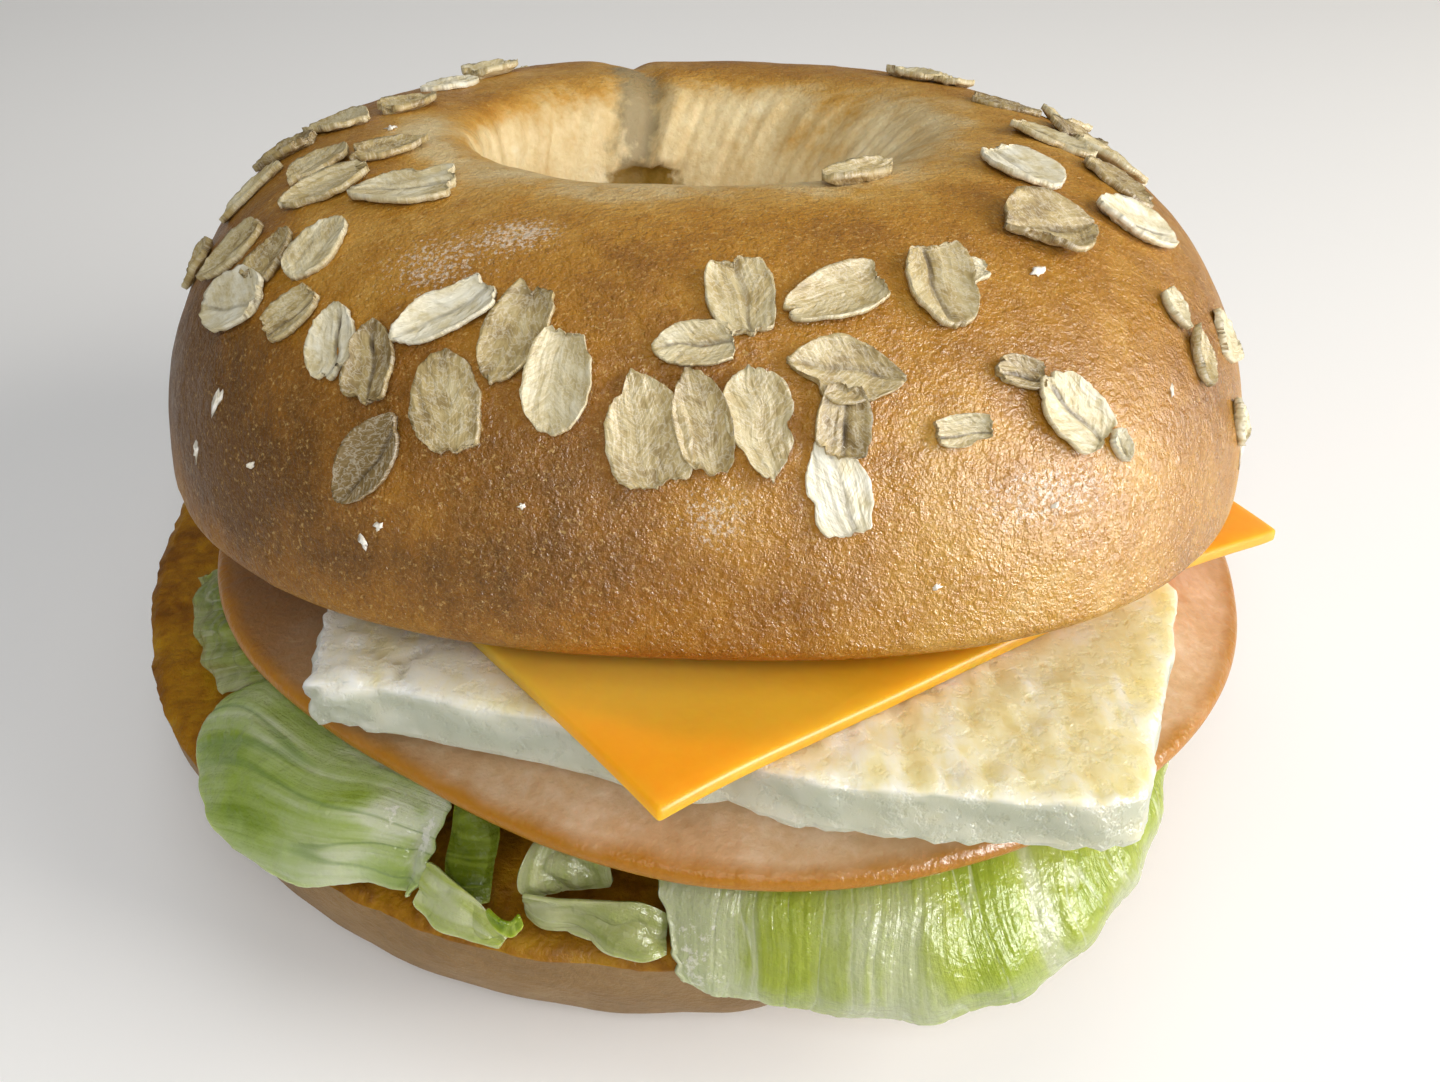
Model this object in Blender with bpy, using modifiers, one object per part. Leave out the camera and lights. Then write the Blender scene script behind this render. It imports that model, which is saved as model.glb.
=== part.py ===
"""A bagel sandwich: two bread halves round ham, lettuce, white cheese and a slice of cheddar.

The sandwich stands on the flat underside of its lower half, with +Z up, and is seen from the
front along +Y. The thick slab of white cheese lies only in the front, so the filling and the
upper half lean back. Sizes below are in millimetres and angles in degrees.
"""

import math
import random

import bmesh
import bpy
from mathutils import Matrix, Vector, noise

MM = 0.001
GAP = 0.3

# Upper half of the bread, in its own frame with z = 0 at the plane of the stack. A plan is its
# squareness power, its stretch along X and its skew toward the diagonal.
TOP_RADIUS = 57.6
TOP_HEIGHT = 34.2
TOP_CREST_RADIUS = 29.0
TOP_HOLE_RADIUS = 11.2
TOP_HOLE_DRIFT = (-6.5, 1.0)
TOP_HOLE_STRETCH = 0.5
TOP_BROW_HEIGHT = 4.0
TOP_TUCK = 8.0
TOP_CUT_HEIGHT = 1.2
TOP_CUT_RADII = (52.0, 30.0)
TOP_OUTER_POWER = 2.26
TOP_INNER_POWER = 2.17
TOP_PLAN = (2.45, 0.01, -0.02)
TOP_CENTRE = (0.1, 8.8, 32.5)
TOP_LEAN = -9.6
TOP_ROLL = 0.5

# The seam where the two ends of the dough rope meet, at the back of the ring
SEAM_AZIMUTH = 110.0
SEAM_WIDTH = 3.5
SEAM_DEPTH = 1.6
SEAM_START = 8.0
SEAM_RAMP = 14.0

# The dough's own soft unevenness
SWELL_SIZE = 26.0
SWELL_HEIGHT = 0.7
SWELL_RAMP = 10.0

# Lower half of the bread
BASE_RADIUS = 57.6
BASE_HEIGHT = 17.9
BASE_TUCK = 10.1
BASE_HOLE_RADIUS = 12.5
BASE_HOLE_FLARE = 7.0
BASE_PLAN = (2.09, -0.01, -0.05)
BASE_CENTRE = (-8.4, 0.1)

# Sliced cheddar, whose front corner is the origin of the stack's own frame
CHEDDAR_SIDE = 84.0
CHEDDAR_THICKNESS = 2.0
CHEDDAR_TURN = 37.3
CHEDDAR_CORNER = (-2.1, -62.5, 42.7)
CHEDDAR_RIGHT_BEND = 44.0
CHEDDAR_RIGHT_SAG = 0.007
CHEDDAR_FRONT_BEND = 8.0
CHEDDAR_FRONT_SAG = 0.008
CHEDDAR_TIP_PULL = 1.4
STACK_LEAN = -9.6
STACK_ROLL = 1.2

# White cheese slab: its outline in the stack's frame, and the notch torn in its front
SLAB_THICKNESS = 5.4
SLAB_EDGE_ROUND = 0.8
SLAB_OUTLINE = (
    (-31.4, 18.0), (-23.5, 16.8), (-14.3, 14.2), (-5.4, 11.4), (2.6, 8.2), (5.4, 8.8), (8.0, 7.0),
    (11.3, 5.6), (19.4, 4.4), (28.0, 3.7), (35.6, 3.5), (38.8, 4.4), (39.9, 6.6), (41.0, 10.2),
    (42.8, 15.8), (46.2, 24.1), (48.9, 31.9), (50.0, 36.0), (49.0, 39.2), (46.0, 40.4), (8.0, 46.6),
    (-33.0, 53.0), (-32.6, 36.0), (-32.4, 26.0),
)

# Ham: a round slice whose rim hangs a little at the front and right
HAM_RADIUS = 58.0
HAM_THICKNESS = 2.4
HAM_CLEARANCE = 1.0
HAM_CENTRE = (4.0, -1.0)
HAM_DENT = 3.2
HAM_DENT_AZIMUTH = -122.0
HAM_DENT_SPREAD = 24.0
HAM_BACK_RISE = 5.0
HAM_BACK_START = -20.0
HAM_BACK_LENGTH = 76.0
HAM_FRONT_DROOP = 5.2
HAM_FRONT_AZIMUTH = -86.0
HAM_FRONT_SPREAD = 48.0
HAM_RIGHT_DROOP = 3.4
HAM_RIGHT_AZIMUTH = -12.0
HAM_RIGHT_SPREAD = 40.0
HAM_DROOP_START = 0.8

LEAF_THICKNESS = 0.9

# The folded lettuce inside, which fills the wedge between the lower half and the ham
BED_CENTRE = (0.0, 8.0)
BED_RADII = (42.0, 36.0)
BED_CLEARANCE = 1.2
BED_FOLD_LENGTH = 21.0
BED_FOLD_TURN = 24.0

# Oat flakes on the crust: azimuth, station on the profile, turn, length and width
FLAKE_THICKNESS = 1.1
FLAKE_SUNK = 0.45
BROW_FLAKES = (
    (-125, 41, -70, 7.5, 4.4), (-120, 40, -74, 7.0, 4.6), (-115, 50, 42, 9.0, 4.4), (-107, 48, 76, 8.8, 5.0),
    (-112, 36, -73, 8.6, 5.8), (-102, 40, 87, 8.4, 5.2), (-118, 24, 59, 9.2, 4.4), (-94, 34, -74, 9.4, 6.4),
    (-89, 35, -76, 8.8, 4.4), (-84, 35, -78, 9.6, 5.0), (-90, 48, 7, 6.4, 3.8), (-85, 58, -80, 7.2, 5.2),
    (-76, 57, 20, 9.0, 4.6), (-76, 43, -12, 9.8, 4.8), (-77, 35, 85, 5.6, 4.2), (-78, 25, -75, 8.2, 4.6),
)
RIGHT_FLAKES = (
    (-64, 57, 86, 8.4, 6.0), (-67, 32, 0, 4.4, 2.6), (-60, 40, -18, 4.0, 2.6), (-56, 33, -59, 7.6, 5.0),
    (-52, 25, -77, 3.4, 2.4), (-45, 65, -20, 10.4, 7.6), (-31, 79, 54, 9.4, 6.4), (-29, 57, -56, 9.4, 6.2),
    (-35, 40, 77, 4.0, 2.8), (-35, 31, 60, 6.0, 3.2), (-23, 26, -30, 7.4, 4.8), (-27, 14, -70, 6.0, 3.2),
    (-17, 62, 62, 9.0, 5.4), (-8, 75, 63, 9.2, 5.6), (-6, 61, 60, 9.0, 5.6), (4, 66, -40, 9.4, 6.0),
    (15, 78, 54, 8.0, 5.0), (16, 62, -28, 8.6, 5.4), (38, 74, -45, 8.4, 5.2), (44, 80, 10, 7.6, 5.0),
    (-58, 93, 8, 9.0, 3.6),
)
LEFT_FLAKES = (
    (-137, 76, 42, 9.8, 6.6), (-155, 83, -80, 8.4, 5.2), (-148, 68, 86, 8.6, 5.0), (-159, 70, -50, 8.4, 5.2),
    (-136, 57, -80, 7.6, 5.0), (-141, 52, -68, 6.0, 4.4), (-150, 47, 66, 8.8, 5.4), (-163, 36, 40, 8.0, 5.0),
    (-142, 41, 20, 9.0, 5.8), (-132, 44, 60, 5.2, 3.8), (-166, 54, -66, 8.6, 5.4), (-176, 60, 61, 8.8, 5.4),
    (179, 72, 65, 8.6, 5.6), (170, 84, -17, 8.2, 5.0), (149, 81, -21, 7.6, 4.8), (135, 79, 22, 9.2, 5.4),
)

# Lettuce: control points of each leaf in columns, from the side tucked under the ham outward
FRONT_LEAF = (
    (
        (-4, -36, 24.5), (-5, -48, 26.2), (-3.1, -54.4, 25),
        (-2, -57.4, 22), (-1.5, -59.2, 19.6), (-0.8, -60, 17.6),
    ),
    (
        (3, -37, 22.5), (3, -49, 25.6), (2.5, -55.8, 25),
        (2, -58.4, 22), (2.2, -60.1, 18.8), (2.8, -60.1, 15.6),
    ),
    ((9, -38, 24), (9, -49, 25.8), (8, -56.4, 25), (8, -59.4, 22.4), (8, -60.8, 18.5), (8.4, -60.3, 14.5)),
    (
        (15, -38, 22.5), (14, -50, 25.8), (14, -56.4, 25),
        (14.1, -59.9, 22.4), (14.1, -61.8, 18), (14.3, -60.2, 12),
    ),
    (
        (21, -38, 24), (20, -49, 25.8), (20.1, -55.8, 25),
        (20.2, -59.4, 22.4), (20.9, -61.5, 18), (21.2, -60.2, 12),
    ),
    (
        (26, -36, 22.5), (25, -47.5, 25.4), (25.9, -54.1, 24.6),
        (26.7, -57.8, 22), (27.7, -60, 18), (28.9, -59, 12.8),
    ),
    (
        (29, -32, 24), (30, -44, 25.2), (31.6, -51.4, 24.2),
        (32.9, -55.1, 21.8), (34.1, -56.6, 18.5), (35.3, -55.5, 14.5),
    ),
    (
        (33, -28, 22), (34, -38.5, 24.2), (37.2, -47.3, 23.4),
        (38.4, -50.3, 21.6), (39.5, -51.6, 19), (40.5, -50.6, 16),
    ),
    (
        (35, -22, 23), (37, -33, 23.4), (41.1, -42.9, 22.8),
        (42.2, -45.5, 21.2), (43.2, -46.4, 19.4), (44.2, -45.4, 17),
    ),
    (
        (37, -16, 21.6), (39.6, -27, 22.6), (44.1, -36.9, 22.4),
        (45.1, -39.4, 21.2), (46, -40.2, 19.8), (46.9, -39.2, 17.8),
    ),
    (
        (38.6, -10, 21.6), (41.6, -20.5, 22), (46, -29.4, 21.8),
        (47.2, -32.4, 20.8), (48.1, -33.8, 20), (48.7, -33.5, 19),
    ),
)
LEFT_LEAF = (
    (
        (-42.8, -29.8, 25.6), (-47, -32.2, 24.8), (-49.8, -34.2, 22),
        (-49.2, -38.9, 20.2), (-46.6, -43.6, 19.5), (-43, -47.1, 19.3),
    ),
    (
        (-38, -28, 26.6), (-42.5, -34.1, 27.2), (-42.8, -39.2, 26.6),
        (-42, -43.7, 25), (-40.9, -47.1, 22), (-38.5, -50.2, 19.4),
    ),
    (
        (-31, -34, 27.2), (-34, -40.5, 27.6), (-34.2, -45, 27.8),
        (-34, -48.5, 26.8), (-34.1, -50.5, 23.5), (-34.4, -51.5, 19.9),
    ),
    (
        (-26, -36, 26.4), (-29.1, -42.7, 27.6), (-28, -46.4, 27.4),
        (-28.2, -49, 26), (-29.2, -50.5, 23.5), (-29.7, -51, 20.2),
    ),
    (
        (-20, -38, 25), (-23.7, -44.3, 27), (-22.3, -47.1, 26),
        (-23.5, -49.2, 24.3), (-24.4, -51.1, 22.2), (-25.8, -52.8, 20),
    ),
)
STRIP_LEAF = (
    ((-23.8, -51.5, 24), (-24.6, -53, 22.5), (-25.3, -54.1, 20.6)),
    ((-21.7, -53.4, 23.6), (-22.7, -55, 22), (-23.5, -55.7, 20)),
    ((-19.3, -54.9, 22.6), (-20.4, -56.5, 21.5), (-21.2, -57.1, 20)),
    ((-17.6, -56.2, 21.4), (-18.4, -57.3, 20.8), (-18.9, -57.9, 20)),
    ((-16.4, -57.3, 20.3), (-16.7, -57.7, 20), (-17.2, -58.1, 19.9)),
)
HOOK_LEAF = (
    ((-17.9, -57, 24.2), (-17.9, -57.2, 23.6), (-17.7, -57.4, 22.8)),
    ((-16.8, -57.8, 23.6), (-16.8, -57.9, 22.8), (-16.8, -58.2, 22)),
    ((-15.7, -57.9, 23.2), (-15.8, -58, 22.4), (-15.7, -58.3, 21.6)),
    ((-14.9, -57.7, 24.2), (-14.8, -57.7, 23.3), (-14.6, -57.8, 22.4)),
)
INNER_LEAF = (
    ((-21.6, -46.9, 27.4), (-19.3, -47.7, 27.6), (-17.1, -47.9, 27.2)),
    ((-22, -48.6, 24.4), (-19.8, -49.9, 25), (-17.7, -49.1, 24.6)),
    ((-22.7, -50.3, 21.6), (-20.4, -51.7, 22.4), (-18.4, -50.9, 22)),
    ((-22.5, -52.2, 19.3), (-20.5, -53.4, 19.8), (-18.7, -52.7, 19.5)),
)
BLADE_LEAF = (
    ((-14.1, -55.8, 23.2), (-14.4, -55.6, 22), (-14.4, -55.7, 20.8)),
    ((-12.3, -56.1, 23.6), (-12.2, -56.5, 22.2), (-12.1, -56.8, 20.6)),
    ((-9.6, -56.4, 24), (-9.5, -57.1, 22.2), (-9.3, -57.7, 20.2)),
    ((-6.6, -56.5, 24.2), (-6.7, -57.8, 22), (-7, -58.8, 20)),
    ((-4.4, -56.3, 23.8), (-4.4, -57.9, 21.6), (-4.7, -59.3, 19.8)),
    ((-2.6, -56.1, 22), (-2.5, -57.4, 20.6), (-2.7, -58.8, 19.6)),
)
CURL_LEAF = (
    ((-13.9, -54.9, 22.6), (-11.8, -54, 22.2), (-9.4, -53, 22)),
    ((-15.3, -55, 24), (-12.7, -54.2, 24.6), (-9.6, -53.3, 24.4)),
    ((-15.1, -54.5, 26.2), (-12.6, -53.7, 26.6), (-9.8, -52.9, 26.3)),
    ((-14.1, -53, 27.4), (-12, -52.2, 27.8), (-9.8, -51.5, 27.4)),
    ((-12.9, -51.4, 27), (-11.4, -50.7, 27.4), (-9.8, -50, 27)),
)
BACK_LEAF = (
    ((-47, -10, 24.5), (-53, -11.6, 25), (-56, -10, 22.5), (-58, -8, 20)),
    ((-43, -17, 25), (-49.4, -20.6, 26), (-53, -18.2, 23.5), (-56.4, -15, 20)),
    ((-40, -22, 25.4), (-45, -27, 26.6), (-49, -25.6, 24.6), (-53.4, -22, 20.2)),
    ((-38, -24, 24), (-42, -28.6, 24.6), (-45.4, -29, 24), (-50, -27, 20.4)),
)


def clear_scene():
    for obj in list(bpy.data.objects):
        bpy.data.objects.remove(obj, do_unlink=True)


def make_collection(name):
    collection = bpy.data.collections.new(name)
    bpy.context.scene.collection.children.link(collection)
    return collection


def make_material(name, colour, roughness):
    material = bpy.data.materials.new(name)
    material.use_nodes = True
    shader = material.node_tree.nodes["Principled BSDF"]
    shader.inputs["Base Color"].default_value = (*colour, 1.0)
    shader.inputs["Roughness"].default_value = roughness
    shader.inputs["Metallic"].default_value = 0.0
    return material


def add_object(name, mesh, collection, material):
    obj = bpy.data.objects.new(name, mesh)
    collection.objects.link(obj)
    mesh.materials.clear()
    mesh.materials.append(material)
    mesh.shade_smooth()
    return obj


def evaluated_mesh(obj):
    """The mesh of an object with its modifiers applied, or of a curve."""
    bpy.context.view_layer.update()
    depsgraph = bpy.context.evaluated_depsgraph_get()
    return bpy.data.meshes.new_from_object(obj.evaluated_get(depsgraph))


def mix(low, high, share):
    return low + (high - low) * share


def smooth(value):
    """A soft step from 0 to 1."""
    value = min(max(value, 0.0), 1.0)
    return value * value * (3.0 - 2.0 * value)


def bump(azimuth, centre, spread):
    """A soft bump of height 1 round one azimuth of the ring."""
    turn = (azimuth - centre + 180.0) % 360.0 - 180.0
    return math.exp(-((turn / spread) ** 2))


def plan_reach(azimuth, plan):
    """How far a slightly square and skewed plan reaches, as a share of its circle's radius."""
    power, stretch, skew = plan
    angle = math.radians(azimuth)
    square = (abs(math.cos(angle)) ** power + abs(math.sin(angle)) ** power) ** (-1.0 / power)
    return square * (1.0 + stretch * math.cos(2.0 * angle) + skew * math.sin(2.0 * angle))


# Bread


def top_profile(station):
    """Radius and height on the upper half: -90 its cut edge, 0 the brow, 90 the crest, 180 the hole."""
    cosine = abs(math.cos(math.radians(station)))
    sine = abs(math.sin(math.radians(station)))
    if station < 0.0:
        return TOP_RADIUS - TOP_TUCK + TOP_TUCK * cosine, TOP_BROW_HEIGHT * (1.0 - sine)
    rise = TOP_HEIGHT - TOP_BROW_HEIGHT
    if station <= 90.0:
        share = 2.0 / TOP_OUTER_POWER
        radius = TOP_CREST_RADIUS + (TOP_RADIUS - TOP_CREST_RADIUS) * cosine**share
        return radius, TOP_BROW_HEIGHT + rise * sine**share
    share = 2.0 / TOP_INNER_POWER
    radius = TOP_CREST_RADIUS - (TOP_CREST_RADIUS - TOP_HOLE_RADIUS) * cosine**share
    return radius, TOP_BROW_HEIGHT + rise * sine**share


def top_point(azimuth, radius, height):
    """A point of the turned upper half after the dough's own unevenness."""
    reach = radius * (1.0 + (plan_reach(azimuth, TOP_PLAN) - 1.0) * (radius / TOP_RADIUS) ** 2)
    seam = bump(azimuth, SEAM_AZIMUTH, SEAM_WIDTH) * SEAM_DEPTH * smooth((height - SEAM_START) / SEAM_RAMP)
    inward = max(0.0, (TOP_CREST_RADIUS - radius) / (TOP_CREST_RADIUS - TOP_HOLE_RADIUS)) ** 2
    angle = math.radians(azimuth)
    wide = math.cos(angle) * reach * (1.0 + TOP_HOLE_STRETCH * inward)
    spot = Vector((wide, math.sin(angle) * reach, height - seam))
    spot += Vector((*TOP_HOLE_DRIFT, 0.0)) * inward
    swell = noise.noise(spot / SWELL_SIZE) * SWELL_HEIGHT * smooth(height / SWELL_RAMP)
    return spot + Vector((math.cos(angle), math.sin(angle), 0.6)) * swell


def crust_point(azimuth, station):
    return top_point(azimuth, *top_profile(station))


def base_profile():
    """The closed section of the lower half, down its outer side and back up through the hole."""
    outer = []
    for step in range(8):
        angle = math.radians(90.0 * step / 7)
        radius = BASE_RADIUS - BASE_TUCK + BASE_TUCK * math.cos(angle)
        outer.append((radius, BASE_HEIGHT * (1.0 - math.sin(angle))))
    hole = []
    for step in range(4):
        share = step / 3
        hole.append((BASE_HOLE_RADIUS + BASE_HOLE_FLARE * (1.0 - share) ** 2, BASE_HEIGHT * share))
    cut = [(mix(BASE_HOLE_RADIUS, BASE_RADIUS, share), BASE_HEIGHT) for share in (0.33, 0.66)]
    return outer + hole + cut


def turned_ring(name, profile, segments, collection, material):
    """A closed section turned round Z by a Screw modifier, then made a plain mesh."""
    mesh = bpy.data.meshes.new(name)
    section = bmesh.new()
    corners = [section.verts.new((radius * MM, 0.0, height * MM)) for radius, height in profile]
    for start, end in zip(corners, corners[1:] + corners[:1]):
        section.edges.new((start, end))
    section.to_mesh(mesh)
    section.free()
    guide = bpy.data.objects.new(name + "_section", mesh)
    collection.objects.link(guide)
    screw = guide.modifiers.new("Turn", "SCREW")
    screw.angle = math.radians(360.0)
    screw.steps = segments
    screw.render_steps = segments
    screw.use_merge_vertices = True
    screw.merge_threshold = 0.0001
    ring = evaluated_mesh(guide)
    bpy.data.objects.remove(guide, do_unlink=True)
    ring.name = name
    return add_object(name, ring, collection, material)


def azimuth_of(spot):
    return math.degrees(math.atan2(spot.y, spot.x))


def make_bagel_bottom(collection, material):
    ring = turned_ring("bagel_bottom", base_profile(), 56, collection, material)
    for vertex in ring.data.vertices:
        reach = math.hypot(vertex.co.x, vertex.co.y) / MM / BASE_RADIUS
        stretch = 1.0 + (plan_reach(azimuth_of(vertex.co), BASE_PLAN) - 1.0) * reach**2
        vertex.co.x *= stretch
        vertex.co.y *= stretch
    ring.location = (BASE_CENTRE[0] * MM, BASE_CENTRE[1] * MM, 0.0)
    return ring


def flake_frame(azimuth, station, turn):
    """Place and axes of a flake on the crust: along it, across it and out of the crust."""
    spot = crust_point(azimuth, station)
    east = (crust_point(azimuth + 1.0, station) - crust_point(azimuth - 1.0, station)).normalized()
    up_hill = (crust_point(azimuth, station + 1.0) - crust_point(azimuth, station - 1.0)).normalized()
    out = east.cross(up_hill).normalized()
    up_hill = out.cross(east)
    angle = math.radians(turn)
    along = east * math.cos(angle) + up_hill * math.sin(angle)
    return spot, along, out.cross(along), out


def add_flake(number, placing, collection):
    azimuth, station, turn, length, width = placing
    spot, along, across, out = flake_frame(azimuth, station, turn)
    mesh = bpy.data.meshes.new("flake")
    shape = bmesh.new()
    bmesh.ops.create_cone(shape, cap_ends=True, segments=8, radius1=0.5, radius2=0.4, depth=1.0)
    for vertex in shape.verts:
        raised = (vertex.co.z + 0.5) * FLAKE_THICKNESS - FLAKE_SUNK
        ragged = 1.0 + 0.12 * noise.noise(vertex.co * 2.0 + Vector((number * 3.7, 0.0, 0.0)))
        place = along * vertex.co.x * length * ragged + across * vertex.co.y * width * ragged
        vertex.co = (spot + place + out * raised) * MM
    shape.to_mesh(mesh)
    shape.free()
    collection.objects.link(bpy.data.objects.new(f"flake_{number}", mesh))


def scattered_flakes():
    """Flakes on the far side of the ring, where the view from the front doesn't reach."""
    draw = random.Random(11)
    placings = []
    for azimuth in (58, 76, 92, 108, 122):
        station = draw.uniform(30, 70)
        placings.append((azimuth, station, draw.uniform(-90, 90), draw.uniform(7, 9), draw.uniform(4.6, 5.6)))
    return placings


def make_bagel_top(collection, material):
    stations = [-58, -30, -10, 6, 18, 28, 38, 48, 58, 68, 78, 88, 98, 110, 122, 134, 146, 158, 170, 180]
    crest = stations.index(88)
    outer_down = [top_profile(station) for station in reversed(stations[: crest + 1])]
    cut_face = [(radius, TOP_CUT_HEIGHT) for radius in (*TOP_CUT_RADII, TOP_HOLE_RADIUS)]
    inner_up = [top_profile(station) for station in reversed(stations[crest + 1 :])]
    profile = outer_down + cut_face + inner_up
    ring = turned_ring("bagel_top", profile, 64, collection, material)
    for vertex in ring.data.vertices:
        radius = math.hypot(vertex.co.x, vertex.co.y) / MM
        vertex.co = top_point(azimuth_of(vertex.co), radius, vertex.co.z / MM) * MM
    flakes = make_collection("oat_flakes")
    for number, placing in enumerate((*BROW_FLAKES, *RIGHT_FLAKES, *LEFT_FLAKES, *scattered_flakes())):
        add_flake(number, placing, flakes)
    union = ring.modifiers.new("Oats", "BOOLEAN")
    union.operation = "UNION"
    union.operand_type = "COLLECTION"
    union.collection = flakes
    union.solver = "MANIFOLD"
    fused = evaluated_mesh(ring)
    ring.modifiers.clear()
    ring.data = fused
    for flake in list(flakes.objects):
        bpy.data.objects.remove(flake, do_unlink=True)
    bpy.data.collections.remove(flakes)
    ring.matrix_world = (
        Matrix.Translation(Vector(TOP_CENTRE) * MM)
        @ Matrix.Rotation(math.radians(TOP_LEAN), 4, "X")
        @ Matrix.Rotation(math.radians(TOP_ROLL), 4, "Y")
    )
    return ring


# Cheese and ham


def stack_matrix():
    return (
        Matrix.Translation(Vector(CHEDDAR_CORNER) * MM)
        @ Matrix.Rotation(math.radians(STACK_LEAN), 4, "X")
        @ Matrix.Rotation(math.radians(STACK_ROLL), 4, "Y")
    )


def stack_height(across, depth):
    """Height of the cheddar's underside over a point of the table."""
    lean = math.tan(math.radians(STACK_LEAN)) * (depth - CHEDDAR_CORNER[1])
    roll = math.tan(math.radians(STACK_ROLL)) * (across - CHEDDAR_CORNER[0])
    return CHEDDAR_CORNER[2] + lean - roll


def make_cheddar(collection, material):
    mesh = bpy.data.meshes.new("cheddar_slice")
    sheet = bmesh.new()
    bmesh.ops.create_grid(sheet, x_segments=8, y_segments=8, size=CHEDDAR_SIDE / 2)
    turn = Matrix.Rotation(math.radians(CHEDDAR_TURN), 4, "Z")
    for vertex in sheet.verts:
        side_tip = max(0.0, -vertex.co.x * vertex.co.y) * 4.0 / CHEDDAR_SIDE**2
        vertex.co -= vertex.co.normalized() * CHEDDAR_TIP_PULL * side_tip**8
        spot = turn @ (vertex.co + Vector((CHEDDAR_SIDE / 2, CHEDDAR_SIDE / 2, 0.0)))
        right_tip = max(0.0, spot.x - CHEDDAR_RIGHT_BEND) ** 2 * CHEDDAR_RIGHT_SAG
        front_tip = max(0.0, CHEDDAR_FRONT_BEND - spot.y) ** 2 * CHEDDAR_FRONT_SAG
        spot.z = CHEDDAR_THICKNESS / 2 - right_tip - front_tip
        vertex.co = spot * MM
    sheet.to_mesh(mesh)
    sheet.free()
    obj = add_object("cheddar_slice", mesh, collection, material)
    solid = obj.modifiers.new("Thickness", "SOLIDIFY")
    solid.thickness = CHEDDAR_THICKNESS * MM
    solid.offset = 0.0
    obj.matrix_world = stack_matrix()
    return obj


def make_slab(collection, material):
    curve = bpy.data.curves.new("white_cheese_slab", "CURVE")
    curve.dimensions = "2D"
    curve.fill_mode = "BOTH"
    spline = curve.splines.new("POLY")
    spline.points.add(len(SLAB_OUTLINE) - 1)
    for point, (across, depth) in zip(spline.points, SLAB_OUTLINE):
        point.co = (across * MM, depth * MM, 0.0, 1.0)
    spline.use_cyclic_u = True
    curve.extrude = (SLAB_THICKNESS / 2 - SLAB_EDGE_ROUND) * MM
    curve.bevel_depth = SLAB_EDGE_ROUND * MM
    curve.bevel_resolution = 1
    curve.offset = -SLAB_EDGE_ROUND * MM
    guide = bpy.data.objects.new("slab_outline", curve)
    collection.objects.link(guide)
    mesh = evaluated_mesh(guide)
    bpy.data.objects.remove(guide, do_unlink=True)
    body = bmesh.new()
    body.from_mesh(mesh)
    bmesh.ops.remove_doubles(body, verts=body.verts, dist=0.00005)
    bmesh.ops.recalc_face_normals(body, faces=body.faces)
    body.to_mesh(mesh)
    body.free()
    obj = add_object("white_cheese_slab", mesh, collection, material)
    sunk = -(SLAB_THICKNESS / 2 + GAP) * MM
    obj.matrix_world = stack_matrix() @ Matrix.Translation((0.0, 0.0, sunk))
    return obj


def ham_radius(azimuth):
    return HAM_RADIUS - HAM_DENT * bump(azimuth, HAM_DENT_AZIMUTH, HAM_DENT_SPREAD)


def ham_top(across, depth, reach, azimuth):
    """Height of the ham's upper face: under the slab, then rising behind it, with a hanging rim."""
    under_slab = stack_height(across, depth) - SLAB_THICKNESS - HAM_CLEARANCE
    back = HAM_BACK_RISE * smooth((depth - HAM_BACK_START) / HAM_BACK_LENGTH)
    front = HAM_FRONT_DROOP * bump(azimuth, HAM_FRONT_AZIMUTH, HAM_FRONT_SPREAD)
    right = HAM_RIGHT_DROOP * bump(azimuth, HAM_RIGHT_AZIMUTH, HAM_RIGHT_SPREAD)
    hang = smooth((reach - HAM_DROOP_START) / (1.0 - HAM_DROOP_START))
    return under_slab + back - (front + right) * hang


def make_ham(collection, material):
    rings = (0.0, 14.0, 26.0, 36.0, 44.0, 50.0, 54.5)
    half = HAM_THICKNESS / 2
    upper = [(radius, half) for radius in rings]
    edge = [(HAM_RADIUS - 0.6, half), (HAM_RADIUS, 0.0), (HAM_RADIUS - 0.6, -half)]
    lower = [(radius, -half) for radius in reversed(rings)]
    ring = turned_ring("ham_slice", upper + edge + lower, 48, collection, material)
    body = bmesh.new()
    body.from_mesh(ring.data)
    bmesh.ops.remove_doubles(body, verts=body.verts, dist=0.00005)
    for edge_line in [line for line in body.edges if not line.link_faces]:
        body.edges.remove(edge_line)
    body.to_mesh(ring.data)
    body.free()
    for vertex in ring.data.vertices:
        azimuth = azimuth_of(vertex.co)
        radius = math.hypot(vertex.co.x, vertex.co.y) / MM
        level = vertex.co.z / MM
        reach = radius / HAM_RADIUS
        scale = ham_radius(azimuth) / HAM_RADIUS
        across = HAM_CENTRE[0] + vertex.co.x / MM * scale
        depth = HAM_CENTRE[1] + vertex.co.y / MM * scale
        vertex.co = Vector((across, depth, ham_top(across, depth, reach, azimuth) - half + level)) * MM
    return ring


# Lettuce


def spline_point(points, share):
    """A point on the smooth curve through a few points, with share from 0 to 1."""
    last = len(points) - 1
    place = share * last
    start = min(int(place), last - 1)
    step = place - start
    before = points[max(start - 1, 0)]
    first = points[start]
    second = points[start + 1]
    after = points[min(start + 2, last)]
    slope_in = (second - before) * 0.5
    slope_out = (after - first) * 0.5
    cubic = (first - second) * 2.0 + slope_in + slope_out
    square = (second - first) * 3.0 - slope_in * 2.0 - slope_out
    return ((cubic * step + square) * step + slope_in) * step + first


def leaf_point(columns, along, outward):
    return spline_point([spline_point(column, outward) for column in columns], along)


def thicken(leaf):
    solid = leaf.modifiers.new("Thickness", "SOLIDIFY")
    solid.thickness = LEAF_THICKNESS * MM
    solid.offset = 0.0
    solid.use_even_offset = False


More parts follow.
